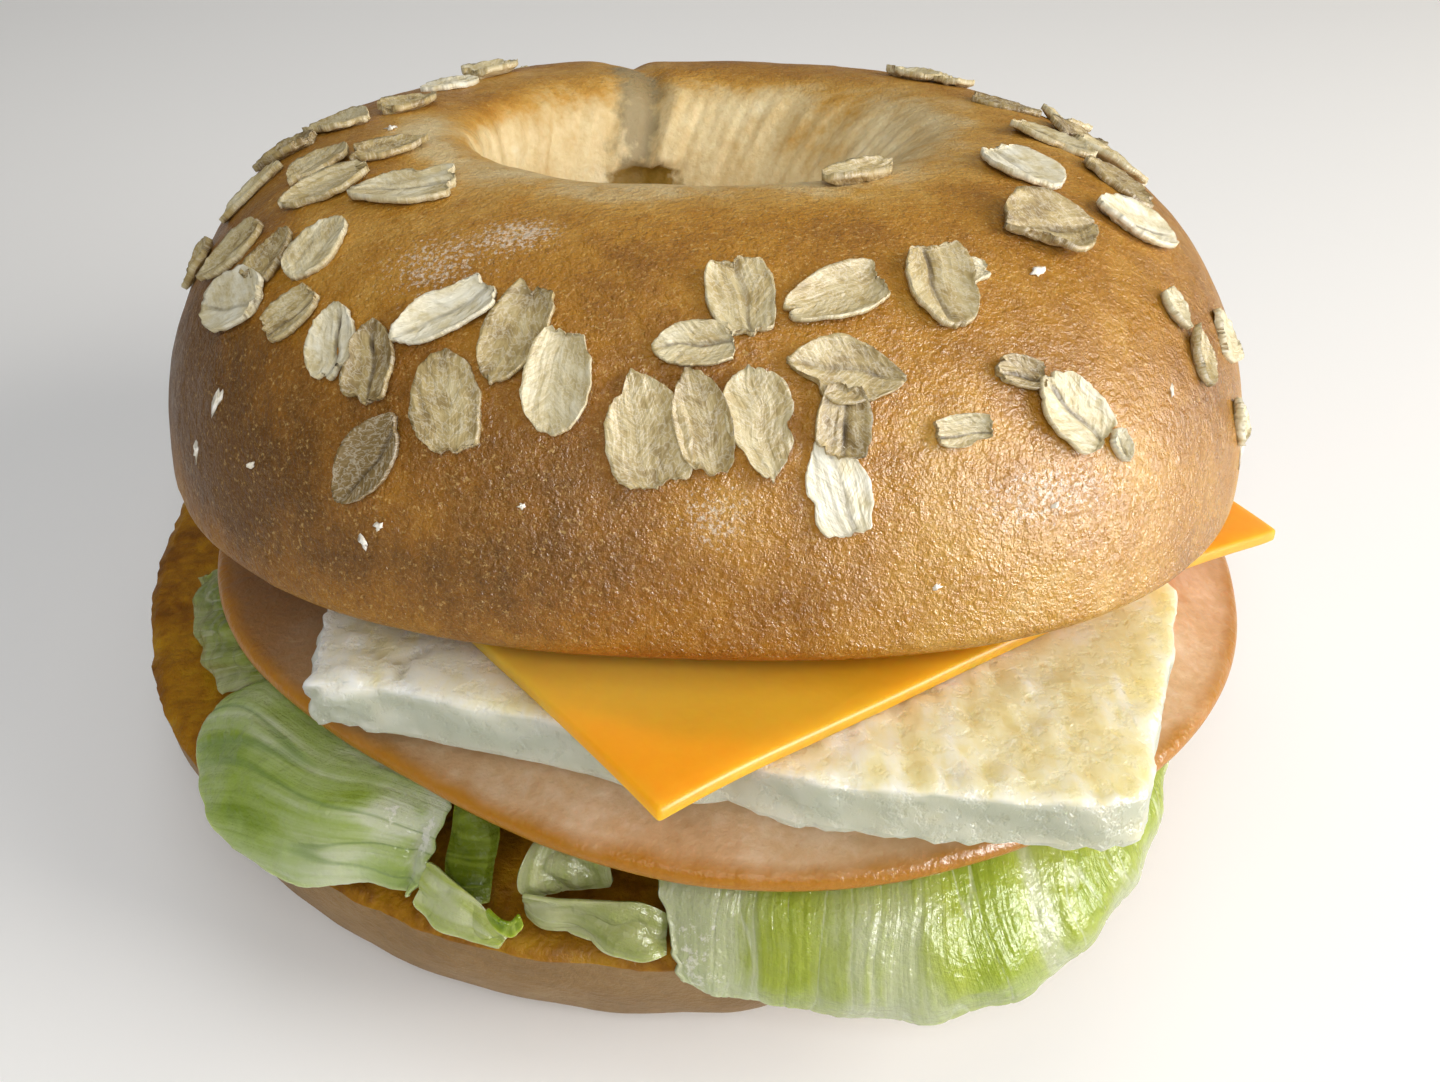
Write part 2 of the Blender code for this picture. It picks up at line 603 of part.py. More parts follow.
def make_leaf(name, columns, cells, pleats, depth, collection, material, across=False, taper=0.0):
    """A thin leaf through its control points, pleated along or across and tapered at both ends."""
    columns = [[Vector(point) for point in column] for column in columns]
    mesh = bpy.data.meshes.new(name)
    sheet = bmesh.new()
    bmesh.ops.create_grid(sheet, x_segments=cells[0], y_segments=cells[1], size=0.5)
    nudge = 0.02
    for vertex in sheet.verts:
        along = vertex.co.x + 0.5
        outward = vertex.co.y * (1.0 - taper * abs(2.0 * vertex.co.x) ** 6) + 0.5
        spot = leaf_point(columns, along, outward)
        slope_along = leaf_point(columns, min(along + nudge, 1.0), outward) - leaf_point(
            columns, max(along - nudge, 0.0), outward
        )
        slope_out = leaf_point(columns, along, min(outward + nudge, 1.0)) - leaf_point(
            columns, along, max(outward - nudge, 0.0)
        )
        normal = slope_along.cross(slope_out).normalized()
        wave = math.sin(2.0 * math.pi * pleats * (outward if across else along))
        vertex.co = (spot + normal * wave * depth * smooth(outward * 3.0)) * MM
    bmesh.ops.triangulate(sheet, faces=sheet.faces)
    sheet.to_mesh(mesh)
    sheet.free()
    obj = add_object(name, mesh, collection, material)
    thicken(obj)
    return obj


def bed_height(across, depth):
    """Height of the folded lettuce, which swings between the lower half and the ham."""
    out = Vector((across - HAM_CENTRE[0], depth - HAM_CENTRE[1]))
    azimuth = math.degrees(math.atan2(out.y, out.x))
    highest = ham_top(across, depth, out.length / HAM_RADIUS, azimuth) - HAM_THICKNESS - BED_CLEARANCE
    lowest = BASE_HEIGHT + BED_CLEARANCE
    turn = math.radians(BED_FOLD_TURN)
    distance = across * math.cos(turn) + depth * math.sin(turn)
    bend = noise.noise(Vector((across, depth, 0.0)) / BED_FOLD_LENGTH)
    fold = math.sin(2.0 * math.pi * (distance / BED_FOLD_LENGTH + bend * 0.5))
    return mix(lowest, max(lowest, highest), 0.5 + 0.5 * fold)


def make_bed(collection, material):
    """The hidden middle of the lettuce: a round folded sheet."""
    mesh = bpy.data.meshes.new("lettuce_bed")
    sheet = bmesh.new()
    bmesh.ops.create_grid(sheet, x_segments=18, y_segments=16, size=1.0)
    for vertex in sheet.verts:
        wide = vertex.co.x * math.sqrt(1.0 - vertex.co.y**2 / 2.0)
        deep = vertex.co.y * math.sqrt(1.0 - vertex.co.x**2 / 2.0)
        across = BED_CENTRE[0] + BED_RADII[0] * wide
        depth = BED_CENTRE[1] + BED_RADII[1] * deep
        vertex.co = Vector((across, depth, bed_height(across, depth))) * MM
    bmesh.ops.triangulate(sheet, faces=sheet.faces)
    sheet.to_mesh(mesh)
    sheet.free()
    obj = add_object("lettuce_bed", mesh, collection, material)
    thicken(obj)
    return obj


def make_lettuce(collection, material):
    return [
        make_bed(collection, material),
        make_leaf("lettuce_front", FRONT_LEAF, (34, 9), 9, 0.5, collection, material),
        make_leaf("lettuce_left", LEFT_LEAF, (12, 12), 4, 0.35, collection, material, across=True),
        make_leaf("lettuce_strip", STRIP_LEAF, (9, 4), 1, 0.0, collection, material, taper=0.4),
        make_leaf("lettuce_hook", HOOK_LEAF, (6, 3), 1, 0.0, collection, material, taper=0.5),
        make_leaf("lettuce_inner", INNER_LEAF, (7, 4), 1, 0.0, collection, material, taper=0.3),
        make_leaf("lettuce_blade", BLADE_LEAF, (10, 5), 1, 0.0, collection, material, taper=0.25),
        make_leaf("lettuce_curl", CURL_LEAF, (12, 5), 1, 0.0, collection, material, taper=0.3),
        make_leaf("lettuce_back", BACK_LEAF, (10, 7), 4, 0.3, collection, material),
    ]


def centre_on_base(objects):
    """Move everything so that the origin is under the middle of the bounding box."""
    bpy.context.view_layer.update()
    depsgraph = bpy.context.evaluated_depsgraph_get()
    corners = []
    for obj in objects:
        solid = obj.evaluated_get(depsgraph)
        corners += [solid.matrix_world @ vertex.co for vertex in solid.data.vertices]
    low = Vector(min(corner[axis] for corner in corners) for axis in range(3))
    high = Vector(max(corner[axis] for corner in corners) for axis in range(3))
    shift = Vector((-(low.x + high.x) / 2, -(low.y + high.y) / 2, -low.z))
    for obj in objects:
        obj.matrix_world = Matrix.Translation(shift) @ obj.matrix_world


def main():
    clear_scene()
    collection = make_collection("bagel_sandwich")
    crust = make_material("baked crust", (0.50, 0.25, 0.08), 0.45)
    base_crust = make_material("pale lower crust", (0.55, 0.36, 0.20), 0.6)
    cheddar = make_material("cheddar", (0.95, 0.42, 0.03), 0.4)
    white_cheese = make_material("white cheese", (0.86, 0.84, 0.68), 0.45)
    ham = make_material("ham", (0.72, 0.42, 0.28), 0.45)
    lettuce = make_material("lettuce", (0.52, 0.66, 0.22), 0.4)
    objects = [
        make_bagel_bottom(collection, base_crust),
        make_ham(collection, ham),
        make_slab(collection, white_cheese),
        make_cheddar(collection, cheddar),
        make_bagel_top(collection, crust),
        *make_lettuce(collection, lettuce),
    ]
    centre_on_base(objects)


main()
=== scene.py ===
"""Looks of the bagel sandwich: bread with oat flakes, cheddar, white cheese, ham and lettuce.

Sizes are in millimetres and angles in degrees. Every form is first laid out in the frame of the
camera fit, and the finished mesh is moved by SHIFT and scaled to metres.
"""

import math
import random

import bmesh
import bpy
from mathutils import Matrix, Vector, noise


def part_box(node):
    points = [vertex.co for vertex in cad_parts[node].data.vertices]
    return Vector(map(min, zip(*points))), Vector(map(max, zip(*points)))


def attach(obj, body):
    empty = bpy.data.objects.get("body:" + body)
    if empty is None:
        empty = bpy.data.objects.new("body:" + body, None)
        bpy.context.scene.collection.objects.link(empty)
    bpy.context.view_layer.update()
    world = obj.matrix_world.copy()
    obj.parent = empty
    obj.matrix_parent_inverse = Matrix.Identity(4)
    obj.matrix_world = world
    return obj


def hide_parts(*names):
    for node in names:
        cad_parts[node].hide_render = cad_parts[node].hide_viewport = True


MM = 0.001

# Upper half of the bread, in its own frame with z = 0 at the plane of the stack. A plan is its
# squareness power, its stretch along X and its skew toward the diagonal.
TOP_RADIUS = 57.6
TOP_HEIGHT = 34.2
TOP_CREST_RADIUS = 29.0
TOP_HOLE_RADIUS = 11.2
TOP_HOLE_DRIFT = (-6.5, 1.0)
TOP_HOLE_STRETCH = 0.5
TOP_BROW_HEIGHT = 4.0
TOP_TUCK = 8.0
TOP_CUT_HEIGHT = 1.2
TOP_OUTER_POWER = 2.26
TOP_INNER_POWER = 2.17
TOP_PLAN = (2.45, 0.01, -0.02)
TOP_CENTRE = (0.1, 8.8, 32.5)
TOP_LEAN = -9.6
TOP_ROLL = 0.5
TOP_LOW_STATION = -58.0
TOP_RINGS = 118
TOP_STEPS = 420
CUT_RINGS = 12

# The seam where the two ends of the dough rope meet, at the back of the ring, with its step
SEAM_AZIMUTH = 102.0
SEAM_WIDTH = 3.5
SEAM_DRIFT = -0.13
SEAM_STEP = 0.9
SEAM_DEPTH = 1.6
SEAM_START = 8.0
SEAM_RAMP = 14.0
# It runs aslant between two stations, and is shallower where it crosses the crest
SEAM_FROM = 80.0
SEAM_TO = 150.0
SEAM_MIDDLE = 112.0
SEAM_CREST = 88.0
SEAM_CREST_SPREAD = 9.0
SEAM_CREST_EASE = 0.6
# The greyish smear of dough beside it
SEAM_SMEAR = 8.0
SEAM_SMEAR_SHIFT = 4.0
SEAM_SMEAR_STATION = 82.0
SEAM_SMEAR_RAMP = 14.0
# How far past the seam its step rises and fades again, in degrees
SEAM_STEP_RISE = 2.5
SEAM_STEP_FADE = 16.0
# The crack under the seam, low in the hole, painted dark as shade, with its peak at the seam and its thick
# lip
CRACK_AZIMUTH = 98.0
CRACK_SPREAD = 13.0
CRACK_STATION = 136.0
CRACK_PEAK = 3.0
CRACK_PEAK_SPREAD = 4.0
CRACK_RAMP = 4.0
CRACK_LIP = 1.6

# The dough's own soft unevenness, and the finer lumps and blisters of the crust
SWELL_SIZE = 26.0
SWELL_HEIGHT = 0.7
SWELL_RAMP = 10.0
LUMP_SIZE = 8.0
LUMP_HEIGHT = 0.22
BLISTER_SIZE = 2.6
BLISTER_HEIGHT = 0.16
# The folds and creases on the wall of the hole: degrees round it and along its profile
WALL_FOLD = (9.0, 60.0)
WALL_CREASE = (3.6, 40.0)

CRUST_LAYERS = ("toast_and_painted_light", "hollow", "flour_and_glitter", "seam", "crack", "sheen")
# The soft crumb of the hole begins past the crest, and the glossier skin lies at the front right
HOLLOW_STATION = 96.0
HOLLOW_RAMP = 24.0
SHEEN_AZIMUTH = -56.0
SHEEN_SPREAD = 36.0
SHEEN_TOP = 62.0
SHEEN_RAMP = 40.0
# Browning along the profile, as (station, browning), and the colours of crust from pale to dark
TOAST_PROFILE = (
    (-60, 0.34), (-30, 0.44), (-6, 0.60), (20, 0.67), (50, 0.72), (75, 0.67), (92, 0.56), (106, 0.43),
    (120, 0.30), (140, 0.24), (162, 0.26), (181, 0.62),
)
TOAST_STOPS = (
    (0.0, "#F0E8CC"), (0.2, "#E2CFA0"), (0.38, "#CEB27A"), (0.52, "#BF913E"), (0.66, "#A8751E"),
    (0.82, "#8B5B16"), (1.0, "#65400C"),
)
# Browner and paler spots of crust, partly painted light: azimuth, station, spread of both, and the browning
# there
# The broad dark spot at (-155, 25) is painted shade on the left side, the pale one at (-60, 30) a painted
# highlight
TOAST_AND_LIGHT_SPOTS = (
    (-90, 62, 34, 20, 0.02), (-155, 25, 34, 28, 0.30), (-88, 23, 7, 8, -0.06), (-100, 92, 40, 14, -0.14),
    (-40, 30, 24, 30, -0.02), (-60, 95, 30, 12, -0.04), (180, 96, 36, 14, 0.06), (70, 88, 30, 14, 0.04),
    (-128, 60, 18, 18, -0.06), (-100, 11, 22, 15, 0.16), (-128, 16, 28, 20, 0.17), (90, 99, 26, 12, 0.20),
    (170, 107, 24, 12, 0.18), (45, 116, 14, 14, 0.08), (-72, 8, 12, 12, -0.06), (-118, 18, 6, 7, -0.16),
    (-60, 30, 14, 20, -0.10), (70, 122, 16, 10, -0.12), (-104, 50, 5, 6, -0.1), (-140, 45, 8, 9, -0.1),
    (-165, 93, 22, 7, -0.16), (-158, 87, 20, 6, -0.20), (-105, 62, 12, 12, 0.04), (-44, 28, 12, 16, 0.10),
)
# Patches of painted glitter, pale specks that stand for glints of light: azimuth, station, spread of both,
# and their strength
GLITTER_SPOTS = ((-120, 58, 10, 11, 1.0), (-111, 70, 8, 7, 1.0), (-88, 22, 6, 8, 1.0), (-60, 22, 12, 9, 1.0))

# Lower half of the bread
BASE_RADIUS = 57.6
BASE_HEIGHT = 17.9
BASE_TUCK = 10.1
BASE_HOLE_RADIUS = 12.5
BASE_HOLE_FLARE = 7.0
BASE_PLAN = (2.09, -0.01, -0.05)
BASE_CENTRE = (-8.4, 0.1)
BASE_LUMP_HEIGHT = 0.6
BASE_EDGE_DROP = 0.8
BASE_EDGE_WIDTH = 1.6
BASE_CUT_DEPTH = 1.4
BASE_SIDE_RINGS = 30
BASE_FACE_RINGS = 40
BASE_STEPS = 380
CRUMB_SIZE = 2.2
CRUMB_DEPTH = 0.35

# Sliced cheddar, whose front corner is the origin of the stack's own frame
CHEDDAR_SIDE = 84.0
CHEDDAR_THICKNESS = 1.4
CHEDDAR_TURN = 37.3
CHEDDAR_CORNER = (-2.1, -62.5, 42.7)
CHEDDAR_RIGHT_BEND = 44.0
CHEDDAR_RIGHT_SAG = 0.007
CHEDDAR_FRONT_BEND = 8.0
CHEDDAR_FRONT_SAG = 0.008
CHEDDAR_TIP_PULL = 1.4
CHEDDAR_EDGE = 0.4
CHEDDAR_CELL = 2.0
CHEDDAR_WAVE_SIZE = 14.0
CHEDDAR_WAVE_HEIGHT = 0.25
STACK_LEAN = -9.6
STACK_ROLL = 1.2

# White cheese slab, with its outline in the stack's frame
SLAB_THICKNESS = 5.4
SLAB_SUNK = 0.3
SLAB_EDGE_ROUND = 0.7
SLAB_CELL = 0.8
# Its broad and fine unevenness, the curds of its wrinkled face and the lobes of its torn end
SLAB_BROAD_SIZE = 5.0
SLAB_FINE_SIZE = 1.9
SLAB_CURD_WIDTH = 1.6
SLAB_CURD_LENGTH = 3.4
SLAB_CURD_FINE = 1.2
SLAB_CURD_HEIGHT = 0.7
SLAB_TORN_FROM = -22.0
SLAB_TORN_RAMP = 7.0
SLAB_LOBE_SIZE = 2.6
SLAB_LOBE_HEIGHT = 0.8
SLAB_CRACK_WIDTH = 0.42
SLAB_CRACK_DEPTH = 0.9
# Its cracks: where each starts, which way it turns and how long it is
SLAB_CRACKS = (((-24.0, 21.0), 150.0, 3.4), ((-24.0, 21.0), 35.0, 3.2), ((-24.0, 21.0), -70.0, 2.2))
SLAB_OUTLINE = (
    (-31.4, 18.0), (-23.5, 16.8), (-14.3, 14.2), (-5.4, 11.4), (2.6, 8.2), (5.4, 8.8), (8.0, 7.0),
    (11.3, 5.6), (19.4, 4.4), (28.0, 3.7), (35.6, 3.5), (38.8, 4.4), (39.9, 6.6), (41.0, 10.2),
    (42.8, 15.8), (46.2, 24.1), (48.9, 31.9), (50.0, 36.0), (49.0, 39.2), (46.0, 40.4), (8.0, 46.6),
    (-33.0, 53.0), (-32.6, 36.0), (-32.4, 26.0),
)

# Ham: a round slice whose rim hangs a little at the front and right
HAM_RADIUS = 58.0
HAM_THICKNESS = 2.4
HAM_CLEARANCE = 1.0
HAM_CENTRE = (4.0, -1.0)
HAM_DENT = 3.2
HAM_DENT_AZIMUTH = -122.0
HAM_DENT_SPREAD = 24.0
HAM_BACK_RISE = 5.0
HAM_BACK_START = -20.0
HAM_BACK_LENGTH = 76.0
HAM_FRONT_DROOP = 5.2
HAM_FRONT_AZIMUTH = -86.0
HAM_FRONT_SPREAD = 48.0
HAM_RIGHT_DROOP = 3.4
HAM_RIGHT_AZIMUTH = -12.0
HAM_RIGHT_SPREAD = 40.0
HAM_DROOP_START = 0.8
# The left part of the slice is painted dark brown as shade: its azimuth and spread
HAM_SHADE_AZIMUTH = -158.0
HAM_SHADE_SPREAD = 30.0
HAM_WAVE_SIZE = 9.0
HAM_WAVE_HEIGHT = 0.25
HAM_RINGS = 36
HAM_STEPS = 260
HAM_LAYERS = ("rim", "shaded_left")

# Oat flakes on the crust: azimuth, station on the profile, turn, length, width and torn-off ends
BROW_FLAKES = (
    (-125, 41, -70, 7.5, 4.4, 0), (-120, 40, -74, 7.0, 4.6, 1), (-115, 50, 42, 9.0, 4.4, 1),
    (-107, 48, 76, 8.8, 5.0, 1), (-112, 36, -73, 8.6, 5.8, 1), (-102, 40, 87, 8.4, 5.2, 1),
    (-118, 24, 59, 9.2, 4.4, 0), (-94, 34, -74, 9.4, 6.4, 1), (-89, 35, -76, 8.8, 4.4, 1),
    (-84, 35, -78, 9.6, 5.0, 0), (-90, 48, 7, 6.4, 3.8, 1), (-85, 58, -80, 7.2, 5.2, 2),
    (-76, 57, 20, 9.0, 4.6, 1), (-76, 43, -12, 9.8, 4.8, 0), (-77, 35, 85, 5.6, 4.2, 2),
    (-78, 25, -75, 8.2, 4.6, 1),
)
RIGHT_FLAKES = (
    (-64, 57, 86, 8.4, 6.0, 1), (-67, 32, 0, 4.4, 2.6, 2), (-60.5, 40, -18, 4.0, 2.6, 2),
    (-57, 33, -59, 7.6, 5.0, 1), (-53, 25, -77, 3.0, 1.8, 0), (-45, 65, -20, 10.4, 7.6, 0),
    (-31, 79, 54, 9.4, 6.4, 1), (-29, 57, -56, 9.4, 6.2, 0), (-37, 41, 77, 4.0, 2.4, 1),
    (-37, 32, 60, 6.0, 2.8, 0), (-26, 28, -30, 6.4, 4.8, 2), (-30, 15, -70, 5.0, 2.6, 1),
    (-17, 62, 62, 9.0, 5.4, 0), (-8, 75, 63, 9.2, 5.6, 1), (-6, 61, 60, 9.0, 5.6, 1),
    (4, 66, -40, 9.4, 6.0, 0), (15, 78, 54, 8.0, 5.0, 1), (16, 62, -28, 8.6, 5.4, 0),
    (38, 74, -45, 8.4, 5.2, 1), (44, 80, 10, 7.6, 5.0, 0), (-58, 93, 8, 9.0, 3.6, 0),
    (-59.5, 60, 0, 2.6, 2.4, 2),
)
LEFT_FLAKES = (
    (-137, 76, 42, 9.8, 6.6, 1), (-155, 83, -80, 8.4, 5.2, 0), (-148, 68, 86, 8.6, 5.0, 1),
    (-159, 70, -50, 8.4, 5.2, 0), (-136, 57, -80, 7.6, 5.0, 0), (-141, 52, -68, 6.0, 4.4, 1),
    (-150, 47, 66, 8.8, 5.4, 0), (-163, 36, 40, 8.0, 5.0, 0), (-142, 41, 20, 9.0, 5.8, 1),
    (-132, 44, 60, 5.2, 3.8, 2), (-166, 54, -66, 8.6, 5.4, 0), (-176, 60, 61, 8.8, 5.4, 1),
    (179, 72, 65, 8.6, 5.6, 0), (170, 84, -17, 8.2, 5.0, 1), (149, 81, -21, 7.6, 4.8, 0),
    (135, 79, 22, 9.2, 5.4, 1),
)
# White specks of flour and broken oats on the crust: azimuth, station, turn, length and width
SPECKS = (
    (-137.5, 24.5, 75, 2.8, 0.9), (-170.5, 84.5, 0, 1.7, 1.2), (-116.5, 13.5, 60, 0.9, 0.7),
    (-118, 10.5, -60, 1.4, 0.8), (-52, 57.5, 0, 1.7, 1.1), (-141, 13, 80, 1.8, 0.6), (-131, 17, 20, 0.8, 0.6),
    (-28, 8, 70, 3.0, 0.8), (-27, 12, 60, 2.4, 0.7), (-70, 8, 10, 0.9, 0.6), (-44, 30, 40, 0.9, 0.7),
    (-104, 20, 0, 0.7, 0.5), (-60, 18, 30, 0.8, 0.5), (20, 40, 50, 1.2, 0.8), (80, 30, 10, 1.4, 0.8),
)
# One flake is much browner than the rest
DARK_FLAKE = 6
DARK_TONE = -0.4
FLAKE_CELLS = (24, 20)
FLAKE_LAYERS = ("flake_fan", "flake_across", "flake_tone", "flake_rim", "flake_crease")
FLAKE_TORN_AT = 0.62
FLAKE_THICKNESS = 0.6
FLAKE_LIFT = 0.32
# A flake's crease and the lips beside it, as shares of its half width, and its fibres and rolls in mm
FLAKE_CREASE_WIDTH = 0.09
FLAKE_LIP_PLACE = 0.22
FLAKE_LIP_WIDTH = 0.12
FLAKE_FIBRE_HEIGHT = 0.14

# Lettuce: control points of each leaf in columns, from the side tucked under the ham outward
LEAF_THICKNESS = 0.42
LEAF_FRILL = 0.4
LEAF_NUDGE = 0.02
# Lengths across and along its ribs, and the heights of its ribs, lines, finest lines and puckers
LEAF_DRIFT = 2.4
LEAF_DRIFT_SIZE = 9.0
LEAF_FINE_SIZE = 0.8
LEAF_FINE_RUN = 14.0
LEAF_RIB_RUN = 34.0
LEAF_LINE_RUN = 38.0
LEAF_RIB_HEIGHT = 0.12
LEAF_LINE_HEIGHT = 0.10
LEAF_FINE_HEIGHT = 0.04
LEAF_PUCKER_SIZE = 6.0
LEAF_PUCKER_HEIGHT = 0.5
LEAF_CRUMPLE_SIZE = 3.2
# A fold across a leaf, as a share of its length, and how high it stands
LEAF_FOLD_WIDTH = 0.035
LEAF_FOLD_HEIGHT = 1.1
# Lengths of the waves, the ragged line and the nicks of its margin, and of its torn ends
LEAF_WAVE_SIZE = 5.5
LEAF_RAGGED_SIZE = 3.2
LEAF_NICK_SIZE = 0.9
LEAF_TATTER_SIZE = 2.4
LEAF_TATTER = 1.6
LEAF_LAYERS = ("leaf_side", "leaf_run", "rib", "leaf_out", "leaf_green_and_painted_light")
# Greener and paler places of a leaf: along it, outward, spread of both, and how much greener
# The pale place at 0.73 along the front leaf and 0.9 outward is a painted glossy highlight
FRONT_GREENS = (
    (0.21, 0.8, 0.032, 0.5, 0.45), (0.50, 0.7, 0.05, 0.6, 0.85), (0.36, 0.8, 0.07, 0.5, -0.35),
    (0.06, 0.8, 0.08, 0.5, -0.85), (0.575, 0.8, 0.014, 0.5, -0.9), (0.65, 0.6, 0.05, 0.4, 0.40),
    (0.84, 0.45, 0.12, 0.3, 0.55), (0.73, 0.9, 0.07, 0.2, -0.45), (0.97, 0.7, 0.06, 0.4, 0.1),
)
# The pale place at 0.94 along the left leaf and 0.65 outward is a painted highlight on its fold
LEFT_GREENS = (
    (0.15, 0.45, 0.10, 0.12, 0.34), (0.35, 0.5, 0.2, 0.06, 0.24), (0.2, 0.75, 0.16, 0.12, 0.45),
    (0.90, 0.97, 0.10, 0.14, 0.40), (0.5, 0.9, 0.3, 0.12, -0.25), (0.05, 0.2, 0.1, 0.12, 0.4),
    (0.94, 0.65, 0.035, 0.3, -1.1), (0.78, 0.55, 0.10, 0.14, -0.8), (0.1, 0.3, 0.2, 0.1, -0.3),
)
# The back leaf is painted deeper green all over, as shade under the ham and the bread
BACK_LEAF_SHADE = ((0.3, 0.5, 0.4, 0.6, 0.35),)
INNER_GREENS = ((0.5, 0.3, 0.5, 0.5, 0.3),)
FRONT_LEAF = (
    (
        (-4, -36, 24.5), (-5, -48, 26.2), (-3.1, -54.4, 25),
        (-2, -57.4, 22), (-1.5, -59.2, 19.6), (-0.8, -60, 17.6),
    ),
    (
        (3, -37, 22.5), (3, -49, 25.6), (2.5, -55.8, 25),
        (2, -58.4, 22), (2.2, -60.1, 18.8), (2.8, -60.1, 15.6),
    ),
    ((9, -38, 24), (9, -49, 25.8), (8, -56.4, 25), (8, -59.4, 22.4), (8, -60.8, 18.5), (8.4, -60.3, 14.5)),
    (
        (15, -38, 22.5), (14, -50, 25.8), (14, -56.4, 25),
        (14.1, -59.9, 22.4), (14.1, -61.8, 18), (14.3, -60.2, 12),
    ),
    (
        (21, -38, 24), (20, -49, 25.8), (20.1, -55.8, 25),
        (20.2, -59.4, 22.4), (20.9, -61.5, 18), (21.2, -60.2, 12),
    ),
    (
        (26, -36, 22.5), (25, -47.5, 25.4), (25.9, -54.1, 24.6),
        (26.7, -57.8, 22), (27.7, -60, 18), (28.9, -59, 12.8),
    ),
    (
        (29, -32, 24), (30, -44, 25.2), (31.6, -51.4, 24.2),
        (32.9, -55.1, 21.8), (34.1, -56.6, 18.5), (35.3, -55.5, 14.5),
    ),
    (
        (33, -28, 22), (34, -38.5, 24.2), (37.2, -47.3, 23.4),
        (38.4, -50.3, 21.6), (39.5, -51.6, 19), (40.5, -50.6, 16),
    ),
    (
        (35, -22, 23), (37, -33, 23.4), (41.1, -42.9, 22.8),
        (42.2, -45.5, 21.2), (43.2, -46.4, 19.4), (44.2, -45.4, 17),
    ),
    (
        (37, -16, 21.6), (39.6, -27, 22.6), (44.1, -36.9, 22.4),
        (45.1, -39.4, 21.2), (46, -40.2, 19.8), (46.9, -39.2, 17.8),
    ),
    (
        (38.6, -10, 21.6), (41.6, -20.5, 22), (46, -29.4, 21.8),
        (47.2, -32.4, 20.8), (48.1, -33.8, 20), (48.7, -33.5, 19),
    ),
)
LEFT_LEAF = (
    (
        (-42.8, -29.8, 25.6), (-47, -32.2, 24.8), (-49.8, -34.2, 22),
        (-49.2, -38.9, 20.2), (-46.6, -43.6, 19.5), (-43, -47.1, 19.3),
    ),
    (
        (-38, -28, 26.6), (-42.5, -34.1, 27.2), (-42.8, -39.2, 26.6),
        (-42, -43.7, 25), (-40.9, -47.1, 22), (-38.5, -50.2, 19.4),
    ),
    (
        (-31, -34, 27.2), (-34, -40.5, 27.6), (-34.2, -45, 27.8),
        (-34, -48.5, 26.8), (-34.1, -50.5, 23.5), (-34.4, -51.5, 19.9),
    ),
    (
        (-26, -36, 26.4), (-29.1, -42.7, 27.6), (-28, -46.4, 27.4),
        (-28.2, -49, 26), (-29.2, -50.5, 23.5), (-29.7, -51, 20.2),
    ),
    (
        (-20, -38, 25), (-23.7, -44.3, 27), (-22.3, -47.1, 26),
        (-23.5, -49.2, 24.3), (-24.4, -51.1, 22.2), (-25.8, -52.8, 20),
    ),
)
STRIP_LEAF = (
    ((-23.8, -51.5, 24), (-24.6, -53, 22.5), (-25.3, -54.1, 20.6)),
    ((-21.7, -53.4, 23.6), (-22.7, -55, 22), (-23.5, -55.7, 20)),
    ((-19.3, -54.9, 22.6), (-20.4, -56.5, 21.5), (-21.2, -57.1, 20)),
    ((-17.6, -56.2, 21.4), (-18.4, -57.3, 20.8), (-18.9, -57.9, 20)),
    ((-16.4, -57.3, 20.3), (-16.7, -57.7, 20), (-17.2, -58.1, 19.9)),
)
HOOK_LEAF = (
    ((-17.9, -57, 24.2), (-17.9, -57.2, 23.6), (-17.7, -57.4, 22.8)),
    ((-16.8, -57.8, 23.6), (-16.8, -57.9, 22.8), (-16.8, -58.2, 22)),
    ((-15.7, -57.9, 23.2), (-15.8, -58, 22.4), (-15.7, -58.3, 21.6)),
    ((-14.9, -57.7, 24.2), (-14.8, -57.7, 23.3), (-14.6, -57.8, 22.4)),
)
INNER_LEAF = (
    ((-21.6, -46.9, 27.4), (-19.3, -47.7, 27.6), (-17.1, -47.9, 27.2)),
    ((-22, -48.6, 24.4), (-19.8, -49.9, 25), (-17.7, -49.1, 24.6)),
    ((-22.7, -50.3, 21.6), (-20.4, -51.7, 22.4), (-18.4, -50.9, 22)),
    ((-22.5, -52.2, 19.3), (-20.5, -53.4, 19.8), (-18.7, -52.7, 19.5)),
)
BLADE_LEAF = (
    ((-14.9, -55.5, 24), (-15.1, -55.3, 22.2), (-14.9, -55.5, 20.5)),
    ((-12.5, -56.1, 24.2), (-12.3, -56.5, 22.2), (-12.1, -56.8, 20.4)),
    ((-9.6, -56.4, 24.4), (-9.5, -57.1, 22.2), (-9.3, -57.7, 20.2)),
    ((-6.6, -56.5, 24.4), (-6.7, -57.8, 22), (-7, -58.8, 20)),
    ((-4.2, -56.3, 23.9), (-4.2, -57.9, 21.6), (-4.5, -59.3, 19.8)),
    ((-2.2, -56.1, 22.3), (-2.1, -57.4, 20.6), (-2.3, -58.8, 19.6)),
)
CURL_LEAF = (
    ((-13.9, -54.9, 22.6), (-11.2, -54, 22.2), (-7, -53, 22)),
    ((-15.3, -55, 24), (-12.1, -54.2, 24.6), (-7.2, -53.3, 24.4)),
    ((-15.1, -54.5, 26.2), (-12, -53.7, 26.6), (-7.4, -52.9, 26.3)),
    ((-14.1, -53, 27.4), (-11.4, -52.2, 27.8), (-7.4, -51.5, 27.4)),
    ((-12.9, -51.4, 27), (-10.8, -50.7, 27.4), (-7.4, -50, 27)),
)
